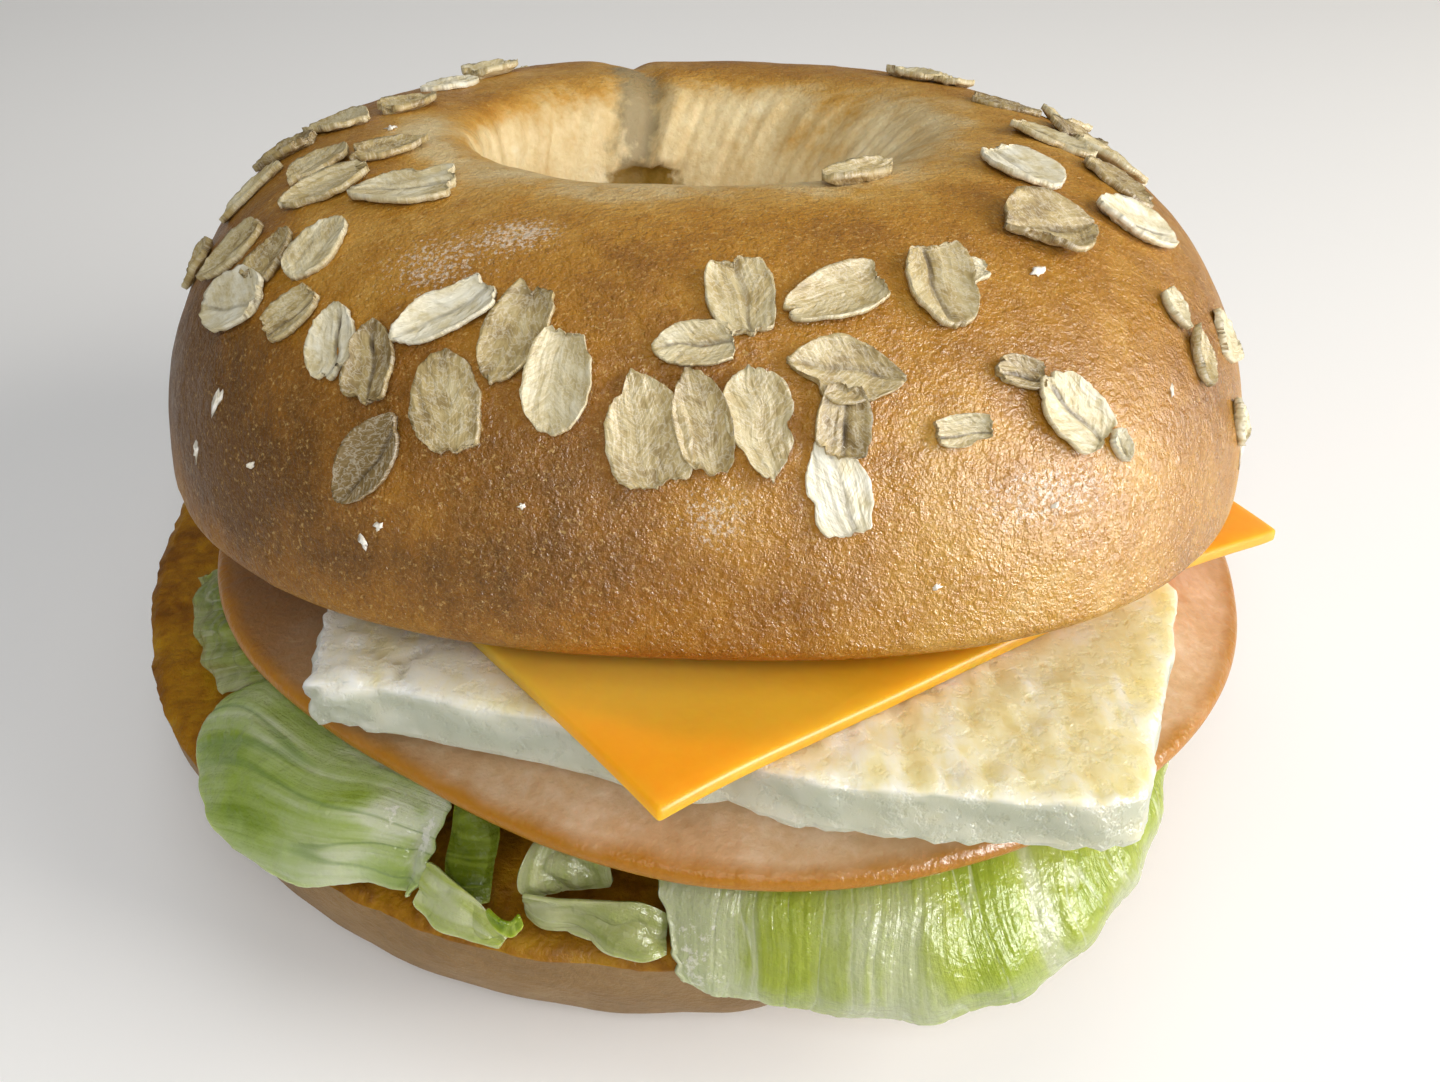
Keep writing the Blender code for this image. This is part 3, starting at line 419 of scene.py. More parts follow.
BACK_LEAF = (
    ((-47, -10, 24.5), (-53, -11.6, 25), (-56, -10, 22.5), (-58, -8, 20)),
    ((-43, -17, 25), (-49.4, -20.6, 26), (-53, -18.2, 23.5), (-56.4, -15, 20)),
    ((-40, -22, 25.4), (-45, -27, 26.6), (-49, -25.6, 24.6), (-53.4, -22, 20.2)),
    ((-38, -24, 24), (-42, -28.6, 24.6), (-45.4, -29, 24), (-50, -27, 20.4)),
)

# Lettuce tints: four greens from pale to deep, the tints of the ribs and of the margin, and how
# closely the streaks lie. The shaded lettuce fold has darker greens, as painted shade for pieces in the gaps
GREEN_STEPS = (0.1, 0.38, 0.62, 0.88)
LETTUCES = {
    "washed lettuce leaf": (("#ADB58A", "#9CA85C", "#98A540", "#8E9E36"), "#C8CFAE", "#B0BE9A", 1.1),
    "grey-green lettuce leaf": (("#BFC9A2", "#A1B272", "#8BA044", "#6E851E"), "#647E44", "#B8CB9A", 0.8),
    "shaded lettuce fold": (("#ADB088", "#949A66", "#7E8840", "#627018"), "#BABE98", "#B0B784", 1.1),
    "green lettuce tip": (("#8C9C34", "#74881A", "#60760E", "#4C6406"), "#A8B85A", "#9CB044", 1.1),
    "inner lettuce fold": (("#76842A", "#5C6A10", "#465406", "#344202"), "#7C8A30", "#68781C", 1.1),
}
# The leaves: solid, name, control points, cells along and outward, lettuce tint, and its own form
LEAVES = (
    (
        "lettuce_front", "front_leaf", FRONT_LEAF, (300, 90), "washed lettuce leaf",
        {"pleats": 9, "depth": 0.14, "greens": FRONT_GREENS},
    ),
    (
        "lettuce_left", "left_leaf", LEFT_LEAF, (100, 120), "grey-green lettuce leaf",
        {
            "pleats": 3, "depth": 0.12, "greens": LEFT_GREENS, "across": True, "rib_size": 5.0, "fold": 0.93,
            "line_size": 4.6, "line_edge": 8.0,
        },
    ),
    (
        "lettuce_strip", "folded_strip", STRIP_LEAF, (60, 40), "washed lettuce leaf",
        {"taper": 0.25, "across": True, "crumple": 0.7},
    ),
    (
        "lettuce_hook", "green_hook", HOOK_LEAF, (40, 20), "green lettuce tip",
        {"taper": 0.5, "greens": INNER_GREENS},
    ),
    (
        "lettuce_inner", "inner_fold", INNER_LEAF, (60, 40), "inner lettuce fold",
        {"taper": 0.15, "crumple": 0.7},
    ),
    (
        "lettuce_blade", "pale_blade", BLADE_LEAF, (80, 44), "shaded lettuce fold",
        {"taper": 0.1, "across": True, "crumple": 0.7},
    ),
    (
        "lettuce_curl", "rolled_edge", CURL_LEAF, (60, 44), "shaded lettuce fold",
        {"taper": 0.15, "across": True, "crumple": 0.6},
    ),
    (
        "lettuce_back", "back_leaf", BACK_LEAF, (80, 60), "shaded lettuce fold",
        {"pleats": 4, "depth": 0.3, "rib_size": 2.6, "crumple": 0.4, "greens": BACK_LEAF_SHADE},
    ),
)

# Studio: the floor lies just under the bread, and the sky's own light is faint
FLOOR_SIZE = 1500.0
FLOOR_DROP = 0.2
SKY_STRENGTH = 0.18
# Lamps: name, place, size, power, tint, and whether it lights matt surfaces. The low window doesn't,
# so it only shows as a shine on the crust and on the wet leaves.
LAMPS = (
    ("window", (600.0, -130.0, 300.0), (430.0, 460.0), 4.2, "#FFF8EE", True),
    ("low window", (350.0, -210.0, 125.0), (220.0, 260.0), 9.0, "#FFFFFF", False),
    ("front", (0.0, -370.0, 370.0), (300.0, 300.0), 1.2, "#FFFFFF", True),
    ("ceiling", (0.0, 60.0, 450.0), (300.0, 300.0), 0.25, "#FFFFFF", True),
    ("back", (-110.0, 400.0, 330.0), (120.0, 120.0), 0.1, "#FFFFFF", True),
)

# Camera of the photograph: its aim, distance and height over the horizon
CAMERA_AIM = (2.58, 0.0, 19.13)
CAMERA_DISTANCE = 169.93
CAMERA_ELEVATION = 39.197
CAMERA_LENS = 35.0
CAMERA_SENSOR = 36.0


# Small tools


def mix(low, high, share):
    return low + (high - low) * share


def smooth(value):
    """A soft step from 0 to 1."""
    value = min(max(value, 0.0), 1.0)
    return value * value * (3.0 - 2.0 * value)


def hump(value, centre, spread):
    """A soft hump of height 1 round one value."""
    return math.exp(-(((value - centre) / spread) ** 2))


def bump(azimuth, centre, spread):
    """A soft hump of height 1 round one azimuth of a ring."""
    return hump((azimuth - centre + 180.0) % 360.0 - 180.0, 0.0, spread)


def waver(first, second, third):
    """Soft noise from -1 to 1 at the place that three numbers give."""
    return noise.noise(Vector((first, second, third)))


def azimuth_of(spot):
    return math.degrees(math.atan2(spot.y, spot.x))


def colour(code):
    """An sRGB hex code as the linear colour that a shader takes."""
    values = []
    for start in (1, 3, 5):
        value = int(code[start : start + 2], 16) / 255.0
        values.append(value / 12.92 if value <= 0.04045 else ((value + 0.055) / 1.055) ** 2.4)
    return (*values, 1.0)


def add(tree, kind, inputs=None, stops=None, out=0, **settings):
    """Adds a node and gives one of its outputs. An input is a link, a value or the code of a colour."""
    node = tree.nodes.new(kind)
    for name, value in settings.items():
        setattr(node, name, value)
    if stops:
        while len(node.color_ramp.elements) < len(stops):
            node.color_ramp.elements.new(1.0)
        for element, (place, code) in zip(node.color_ramp.elements, stops):
            element.position = place
            element.color = colour(code)
    for key, value in (inputs or {}).items():
        if isinstance(value, bpy.types.NodeSocket):
            tree.links.new(value, node.inputs[key])
        else:
            node.inputs[key].default_value = colour(value) if isinstance(value, str) else value
    return node.outputs[out]


def new_material(name, **values):
    """A material with its node tree and its shader, whose uniform values are set here."""
    material = bpy.data.materials.new(name)
    material.use_nodes = True
    tree = material.node_tree
    shader = tree.nodes["Principled BSDF"]
    for key, value in values.items():
        shader.inputs[key.replace("_", " ")].default_value = value
    return material, tree, shader


def carried(tree, *names):
    """The values that a mesh carries in its own layers, in the order of their names."""
    return [add(tree, "ShaderNodeAttribute", out="Fac", attribute_name=name) for name in names]


def drawn_noise(tree, place, scale, detail, roughness=0.5):
    """Noise from 0 to 1 over a place, drawn out along the axes whose scale is small."""
    place = add(tree, "ShaderNodeMapping", {"Vector": place, "Scale": scale})
    settings = {"Vector": place, "Scale": 1.0, "Detail": detail, "Roughness": roughness}
    return add(tree, "ShaderNodeTexNoise", settings)


def pattern(tree, size, detail=3.0, roughness=0.5, stretch=(1.0, 1.0, 1.0)):
    """Noise from 0 to 1 on the object's own coordinates, with its size in millimetres."""
    place = add(tree, "ShaderNodeTexCoord", out="Object")
    return drawn_noise(tree, place, tuple(1000.0 / size * part for part in stretch), detail, roughness)


def sums(tree, start, *terms):
    """start plus each (field, weight, middle), where a field at its middle adds nothing."""
    total = start
    for field, weight, middle in terms:
        less = add(tree, "ShaderNodeMath", {0: field, 1: middle}, operation="SUBTRACT")
        total = add(tree, "ShaderNodeMath", {0: less, 1: weight, 2: total}, operation="MULTIPLY_ADD")
    return total


def mottle(tree, stops, start, *terms):
    """A tint whose stops follow a sum of fields."""
    return add(tree, "ShaderNodeValToRGB", {"Fac": sums(tree, start, *terms)}, stops)


def ridges(tree, field):
    """Fine lines along the middle of a field: 0 on each line and rising away from it."""
    less = add(tree, "ShaderNodeMath", {0: field, 1: 0.5}, operation="SUBTRACT")
    return add(tree, "ShaderNodeMath", {0: less}, operation="ABSOLUTE")


def coat(tree, tint, over, field, stops=None):
    """Lays one colour over another, as thick as the field or its stops say."""
    thick = add(tree, "ShaderNodeValToRGB", {"Fac": field}, stops) if stops else field
    return add(tree, "ShaderNodeMix", {0: thick, 6: tint, 7: over}, out=2, data_type="RGBA")


def dress(tree, shader, tint, *layers):
    """Gives the shader its tint and its relief, each layer a field, its height in mm and its strength."""
    tree.links.new(tint, shader.inputs["Base Color"])
    inputs = {}
    for field, height, strength in layers:
        inputs.update({"Height": field, "Distance": height * MM, "Strength": strength})
        inputs["Normal"] = add(tree, "ShaderNodeBump", inputs)
    if layers:
        tree.links.new(inputs["Normal"], shader.inputs["Normal"])


def new_layers(shape, names):
    return {name: shape.verts.layers.float.new(name) for name in names}


def carry(vertex, layers, values):
    """Writes a point's values into the layers that the material reads."""
    for name, value in values.items():
        vertex[layers[name]] = value


def finished(name, shape, material, matrix=None):
    """A shape in millimetres becomes a smooth object in metres, in the frame of the CAD model."""
    place = Matrix.Scale(MM, 4) @ Matrix.Translation(SHIFT)
    if matrix is not None:
        place = place @ matrix
    bmesh.ops.transform(shape, matrix=place, verts=shape.verts)
    mesh = bpy.data.meshes.new(name)
    shape.to_mesh(mesh)
    shape.free()
    mesh.materials.append(material)
    mesh.shade_smooth()
    obj = bpy.data.objects.new(name, mesh)
    bpy.context.scene.collection.objects.link(obj)
    return obj


def leaned(place, lean, roll):
    """Leans a form round X, rolls it round Y and sets it in its place."""
    lean_turn = Matrix.Rotation(math.radians(lean), 4, "X")
    roll_turn = Matrix.Rotation(math.radians(roll), 4, "Y")
    return Matrix.Translation(place) @ lean_turn @ roll_turn


def spun(section, steps, closed):
    """A section of (radius, height) turned full round Z."""
    shape = bmesh.new()
    corners = [shape.verts.new((radius, 0.0, height)) for radius, height in section]
    edges = [shape.edges.new(pair) for pair in zip(corners, corners[1:])]
    if closed:
        edges.append(shape.edges.new((corners[-1], corners[0])))
    bmesh.ops.spin(
        shape, geom=corners + edges, axis=(0.0, 0.0, 1.0), cent=(0.0, 0.0, 0.0),
        angle=2.0 * math.pi, steps=steps, use_merge=True,
    )
    bmesh.ops.remove_doubles(shape, verts=shape.verts, dist=0.0005)
    bmesh.ops.recalc_face_normals(shape, faces=shape.faces)
    return shape


def round_over(shape, edges, radius):
    """Rounds the given edges of a cut slice."""
    bmesh.ops.bevel(
        shape, geom=edges, offset=radius, offset_type="OFFSET", segments=3, profile=0.5, affect="EDGES",
        material=-1,
    )


def cut_into_cells(shape, size, axes):
    """Cuts a shape by even planes across the given axes, so that it can be bent and pitted."""
    for axis in axes:
        low = min(vertex.co[axis] for vertex in shape.verts)
        high = max(vertex.co[axis] for vertex in shape.verts)
        normal = [0.0, 0.0, 0.0]
        normal[axis] = 1.0
        for step in range(1, round((high - low) / size)):
            place = [0.0, 0.0, 0.0]
            place[axis] = low + step * size
            geometry = shape.verts[:] + shape.edges[:] + shape.faces[:]
            bmesh.ops.bisect_plane(shape, geom=geometry, dist=0.001, plane_co=place, plane_no=normal)


def push_out(shape, amount):
    """Moves every point along its normal by amount(point)."""
    shape.normal_update()
    moves = [(vertex, vertex.normal * amount(vertex.co)) for vertex in shape.verts]
    for vertex, move in moves:
        vertex.co += move


# Bread


def plan_reach(azimuth, plan):
    """How far a slightly square and skewed plan reaches, as a share of its circle's radius."""
    power, stretch, skew = plan
    angle = math.radians(azimuth)
    square = (abs(math.cos(angle)) ** power + abs(math.sin(angle)) ** power) ** (-1.0 / power)
    return square * (1.0 + stretch * math.cos(2.0 * angle) + skew * math.sin(2.0 * angle))


def top_profile(station):
    """Radius and height on the upper half: -90 its cut edge, 0 the brow, 90 the crest, 180 the hole."""
    cosine = abs(math.cos(math.radians(station)))
    sine = abs(math.sin(math.radians(station)))
    if station < 0.0:
        return TOP_RADIUS - TOP_TUCK + TOP_TUCK * cosine, TOP_BROW_HEIGHT * (1.0 - sine)
    outside = station <= 90.0
    share = 2.0 / (TOP_OUTER_POWER if outside else TOP_INNER_POWER)
    reach = (TOP_RADIUS if outside else TOP_HOLE_RADIUS) - TOP_CREST_RADIUS
    rise = (TOP_HEIGHT - TOP_BROW_HEIGHT) * sine**share
    return TOP_CREST_RADIUS + reach * cosine**share, TOP_BROW_HEIGHT + rise


def station_of(radius, height):
    """The place on the profile, from the brow at 0 over the crest at 90 to the hole at 180."""
    wide = TOP_RADIUS - TOP_CREST_RADIUS
    if radius < TOP_CREST_RADIUS:
        wide = TOP_CREST_RADIUS - TOP_HOLE_RADIUS
    rise = (height - TOP_BROW_HEIGHT) / (TOP_HEIGHT - TOP_BROW_HEIGHT)
    return math.degrees(math.atan2(rise, (radius - TOP_CREST_RADIUS) / wide))


def seam_azimuth(station):
    """The seam runs a little aslant from the crest into the hole."""
    return SEAM_AZIMUTH + SEAM_DRIFT * (min(max(station, SEAM_FROM), SEAM_TO) - SEAM_MIDDLE)


def top_point(azimuth, radius, height):
    """A point of the turned upper half after the dough's own unevenness."""
    reach = radius * (1.0 + (plan_reach(azimuth, TOP_PLAN) - 1.0) * (radius / TOP_RADIUS) ** 2)
    station = station_of(radius, height)
    depth = SEAM_DEPTH * (1.0 - SEAM_CREST_EASE * hump(station, SEAM_CREST, SEAM_CREST_SPREAD))
    depth *= smooth((height - SEAM_START) / SEAM_RAMP)
    seam = depth * bump(azimuth, seam_azimuth(station), SEAM_WIDTH)
    inward = max(0.0, (TOP_CREST_RADIUS - radius) / (TOP_CREST_RADIUS - TOP_HOLE_RADIUS)) ** 2
    angle = math.radians(azimuth)
    wide = math.cos(angle) * reach * (1.0 + TOP_HOLE_STRETCH * inward)
    spot = Vector((wide, math.sin(angle) * reach, height - seam))
    spot += Vector((*TOP_HOLE_DRIFT, 0.0)) * inward
    swell = noise.noise(spot / SWELL_SIZE) * SWELL_HEIGHT * smooth(height / SWELL_RAMP)
    return spot + Vector((math.cos(angle), math.sin(angle), 0.6)) * swell


def crust_point(azimuth, station):
    return top_point(azimuth, *top_profile(station))


def top_matrix():
    return leaned(TOP_CENTRE, TOP_LEAN, TOP_ROLL)


def along_list(pairs, place):
    """The value at one place of a list of (place, value) pairs."""
    for (start, low), (end, high) in zip(pairs, pairs[1:]):
        if place <= end:
            return mix(low, high, smooth((place - start) / (end - start)))
    return pairs[-1][1]


def spots_at(spots, azimuth, station):
    """What a list of soft spots adds up to at one place of the crust."""
    return sum(
        amount * bump(azimuth, centre, wide) * hump(station, level, tall)
        for centre, level, wide, tall, amount in spots
    )


def crust_values(azimuth, station):
    """What the mesh carries at one place of the crust for its material to read."""
    line = seam_azimuth(station)
    smear = bump(azimuth, line + SEAM_SMEAR_SHIFT, SEAM_SMEAR)
    into_crack = station - CRACK_STATION + CRACK_PEAK * bump(azimuth, line, CRACK_PEAK_SPREAD)
    return {
        "toast_and_painted_light": along_list(TOAST_PROFILE, station) + spots_at(TOAST_AND_LIGHT_SPOTS, azimuth, station),
        "hollow": smooth((station - HOLLOW_STATION) / HOLLOW_RAMP),
        "flour_and_glitter": spots_at(GLITTER_SPOTS, azimuth, station),
        "seam": smear * smooth((station - SEAM_SMEAR_STATION) / SEAM_SMEAR_RAMP),
        "crack": bump(azimuth, CRACK_AZIMUTH, CRACK_SPREAD) * smooth(into_crack / CRACK_RAMP),
        "sheen": bump(azimuth, SHEEN_AZIMUTH, SHEEN_SPREAD) * smooth((SHEEN_TOP - station) / SHEEN_RAMP),
    }


def wall_folds(azimuth, station, crack):
    """How far the dough stands out on the wall of the hole: its folds, the seam's step and the crack."""
    folds = waver(azimuth / WALL_FOLD[0], station / WALL_FOLD[1], 2.0)
    folds += 0.4 * waver(azimuth / WALL_CREASE[0], station / WALL_CREASE[1], 5.0)
    past = seam_azimuth(station) - azimuth
    step = SEAM_STEP * smooth(past / SEAM_STEP_RISE) * hump(past, 0.0, SEAM_STEP_FADE)
    return folds - step * (1.0 - crack) + CRACK_LIP * crack


def make_top_bread(material):
    rise = 180.0 - TOP_LOW_STATION
    section = [top_profile(TOP_LOW_STATION + rise * ring / TOP_RINGS) for ring in range(TOP_RINGS + 1)]
    inner = TOP_HOLE_RADIUS + 0.6
    outer = section[0][0] - 1.0
    section += [(mix(inner, outer, ring / CUT_RINGS), TOP_CUT_HEIGHT) for ring in range(CUT_RINGS + 1)]
    shape = spun(section, TOP_STEPS, closed=True)
    layers = new_layers(shape, CRUST_LAYERS)
    for vertex in shape.verts:
        azimuth = azimuth_of(vertex.co)
        radius = math.hypot(vertex.co.x, vertex.co.y)
        station = station_of(radius, vertex.co.z)
        values = crust_values(azimuth, station)
        carry(vertex, layers, values)
        folds = wall_folds(azimuth, station, values["crack"]) * values["hollow"]
        angle = math.radians(azimuth)
        spot = top_point(azimuth, radius, vertex.co.z)
        vertex.co = spot + Vector((math.cos(angle), math.sin(angle), 0.0)) * folds

    def lumps(spot):
        broad = noise.noise(spot / LUMP_SIZE) * LUMP_HEIGHT
        blister = max(0.0, noise.noise(spot / BLISTER_SIZE)) ** 2 * BLISTER_HEIGHT
        return (broad + blister) * smooth((spot.z - TOP_CUT_HEIGHT) / 2.0)

    push_out(shape, lumps)
    return finished("top_bread", shape, material, top_matrix())


def crust_material():
    # Baked dough, washed with water before the oven: a thin glossy skin over a soft crumb. The skin
    # is finely wrinkled and blistered, so its shine breaks up into glitter, and the steep sides show
    # the streaks of the stretched dough.
    material, tree, shader = new_material(
        "baked bagel crust", Roughness=0.4, Metallic=0.0, IOR=1.4, Specular_IOR_Level=0.4,
        Subsurface_Weight=0.05, Subsurface_Scale=0.002,
    )
    toast_and_painted_light, hollow, flour_and_glitter, seam, crack, sheen = carried(tree, *CRUST_LAYERS)
    # The browning carries painted shade on the crust's left side and a painted highlight at the front right
    tint = mottle(
        tree,
        TOAST_STOPS,
        toast_and_painted_light,
        (pattern(tree, 2.6, 4.0, 0.6, (1.0, 1.0, 0.12)), sums(tree, 0.16, (hollow, 0.2, 0.0)), 0.5),
        (pattern(tree, 15.0, 4.0, 0.6), 0.65, 0.5),
        (pattern(tree, 3.4, 4.0, 0.65), 0.26, 0.5),
        (pattern(tree, 0.8, 3.0, 0.6), 0.18, 0.5),
    )
    # Painted glints: the skin's fine wrinkles and scattered specks are painted pale gold, as glints of light,
    # on the outside only
    wrinkles = ridges(tree, pattern(tree, 0.75, 3.0, 0.6))
    outside = sums(tree, 1.0, (hollow, -0.8, 0.0))
    painted_glint_flecks = add(tree, "ShaderNodeValToRGB", {"Fac": wrinkles}, ((0.0, "#777777"), (0.022, "#000000")))
    glint_speck_stops = ((0.60, "#000000"), (0.68, "#AAAAAA"))
    glint_specks = add(tree, "ShaderNodeValToRGB", {"Fac": pattern(tree, 0.45, 2.0, 0.7)}, glint_speck_stops)
    painted_glint_flecks = add(tree, "ShaderNodeMath", {0: painted_glint_flecks, 1: glint_specks}, operation="MAXIMUM")
    painted_glint_flecks = add(tree, "ShaderNodeMath", {0: painted_glint_flecks, 1: outside}, operation="MULTIPLY")
    tint = coat(tree, tint, "#E2BE78", painted_glint_flecks)
    smear = sums(tree, seam, (pattern(tree, 2.4, 4.0, 0.6), 1.5, 0.5))
    tint = coat(tree, tint, "#948460", smear, ((0.35, "#000000"), (0.8, "#EEEEEE")))
    # Painted shade: the crack is coloured dark olive-brown for the shade inside it
    crack = sums(tree, crack, (pattern(tree, 2.4, 4.0, 0.6), 0.9, 0.5))
    tint = coat(tree, tint, "#84661C", crack, ((0.35, "#000000"), (0.6, "#FFFFFF")))
    # Painted glitter: pale specks in the patches above, standing for glints of light on the skin
    painted_glitter = sums(tree, flour_and_glitter, (pattern(tree, 0.4, 3.0, 0.7), 2.6, 0.60))
    tint = coat(tree, tint, "#F3ECDD", painted_glitter, ((0.66, "#000000"), (1.15, "#BBBBBB")))
    gloss = sums(
        tree,
        0.42,
        (pattern(tree, 1.1, 2.0), 0.4, 0.5),
        (pattern(tree, 9.0, 2.0), 0.3, 0.5),
        (hollow, 0.25, 0.0),
        (sheen, -0.14, 0.0),
    )
    tree.links.new(gloss, shader.inputs["Roughness"])
    grain = (pattern(tree, 0.55, 3.0, 0.65), 0.2, outside)
    dress(tree, shader, tint, (wrinkles, 0.4, outside), grain, (pattern(tree, 1.7, 4.0, 0.6), 0.45, 0.8))
    return material


def base_section():
    """The closed section of the lower half, down its outer side and back up through the hole."""
    outer = []
    for ring in range(BASE_SIDE_RINGS + 1):
        angle = math.radians(90.0 * ring / BASE_SIDE_RINGS)
        radius = BASE_RADIUS - BASE_TUCK + BASE_TUCK * math.cos(angle)
        outer.append((radius, BASE_HEIGHT * (1.0 - math.sin(angle))))
    shares = [ring / CUT_RINGS for ring in range(CUT_RINGS + 1)]
    low = [(mix(outer[-1][0], BASE_HOLE_RADIUS + BASE_HOLE_FLARE, share), 0.0) for share in shares[1:-1]]
    hole = [
        (BASE_HOLE_RADIUS + BASE_HOLE_FLARE * (1.0 - share) ** 2, BASE_HEIGHT * share) for share in shares
    ]
    steps = range(1, BASE_FACE_RINGS)
    cut = [(mix(BASE_HOLE_RADIUS, BASE_RADIUS, ring / BASE_FACE_RINGS), BASE_HEIGHT) for ring in steps]
    return outer + low + hole + cut


def make_bottom_bread(material):
    shape = spun(base_section(), BASE_STEPS, closed=True)
    cut = shape.verts.layers.float.new("cut")
    for vertex in shape.verts:
        radius = math.hypot(vertex.co.x, vertex.co.y)
        edge = smooth((radius - BASE_RADIUS + BASE_EDGE_WIDTH) / BASE_EDGE_WIDTH)
        vertex[cut] = smooth((vertex.co.z - BASE_HEIGHT + BASE_CUT_DEPTH) / BASE_CUT_DEPTH)
        reach = radius / BASE_RADIUS
        stretch = 1.0 + (plan_reach(azimuth_of(vertex.co), BASE_PLAN) - 1.0) * reach**2
        vertex.co.x *= stretch
        vertex.co.y *= stretch
        vertex.co.z -= BASE_EDGE_DROP * edge * vertex[cut]

    def crumb(spot):
        on_cut = smooth((spot.z - BASE_HEIGHT + 2.5) / 2.0)
        pits = noise.fractal(spot / CRUMB_SIZE, 0.6, 2.0, 3) * CRUMB_DEPTH
        soft = noise.noise(spot / LUMP_SIZE) * BASE_LUMP_HEIGHT
        return (soft + pits * mix(0.1, 0.8, on_cut)) * smooth(spot.z / 2.0)

    push_out(shape, crumb)
    return finished("bottom_bread", shape, material, Matrix.Translation((*BASE_CENTRE, 0.0)))


def lower_crust_material():
    # The pale outer side of the lower half, and its toasted cut face with a thin yellow spread
    material, tree, shader = new_material(
        "toasted bagel base", Roughness=0.55, Metallic=0.0, IOR=1.4, Specular_IOR_Level=0.3,
        Subsurface_Weight=0.08, Subsurface_Scale=0.003,
    )
    stops = ((0.2, "#A2865E"), (0.5, "#8A6C42"), (0.8, "#6C522E"))
    clouds = (pattern(tree, 12.0, 4.0, 0.6), 0.6, 0.5)
    side_tint = mottle(tree, stops, 0.5, clouds, (pattern(tree, 1.4, 3.0), 0.3, 0.5))
    stops = ((0.15, "#B4880F"), (0.45, "#9E6C04"), (0.7, "#7E4E00"), (0.95, "#5C3600"))
    clouds = (pattern(tree, 5.0, 4.0, 0.6), 1.1, 0.5)
    face_tint = mottle(tree, stops, 0.5, clouds, (pattern(tree, 1.2, 3.0), 0.5, 0.5))
    on_cut = sums(tree, *carried(tree, "cut"), (pattern(tree, 2.0, 3.0), 0.5, 0.5))
    tint = coat(tree, side_tint, face_tint, on_cut, ((0.35, "#000000"), (0.6, "#FFFFFF")))
    dress(tree, shader, tint, (pattern(tree, 1.2, 4.0, 0.65), 0.45, 1.0))
    return material


# Oat flakes


def flake_frame(azimuth, station, turn):
    """Place and axes of a flake on the crust: along it, across it and out of the crust."""
    spot = crust_point(azimuth, station)
    east = (crust_point(azimuth + 1.0, station) - crust_point(azimuth - 1.0, station)).normalized()
    up_hill = (crust_point(azimuth, station + 1.0) - crust_point(azimuth, station - 1.0)).normalized()
    out = east.cross(up_hill).normalized()
    up_hill = out.cross(east)
    angle = math.radians(turn)
    along = east * math.cos(angle) + up_hill * math.sin(angle)
    return spot, along, out.cross(along), out


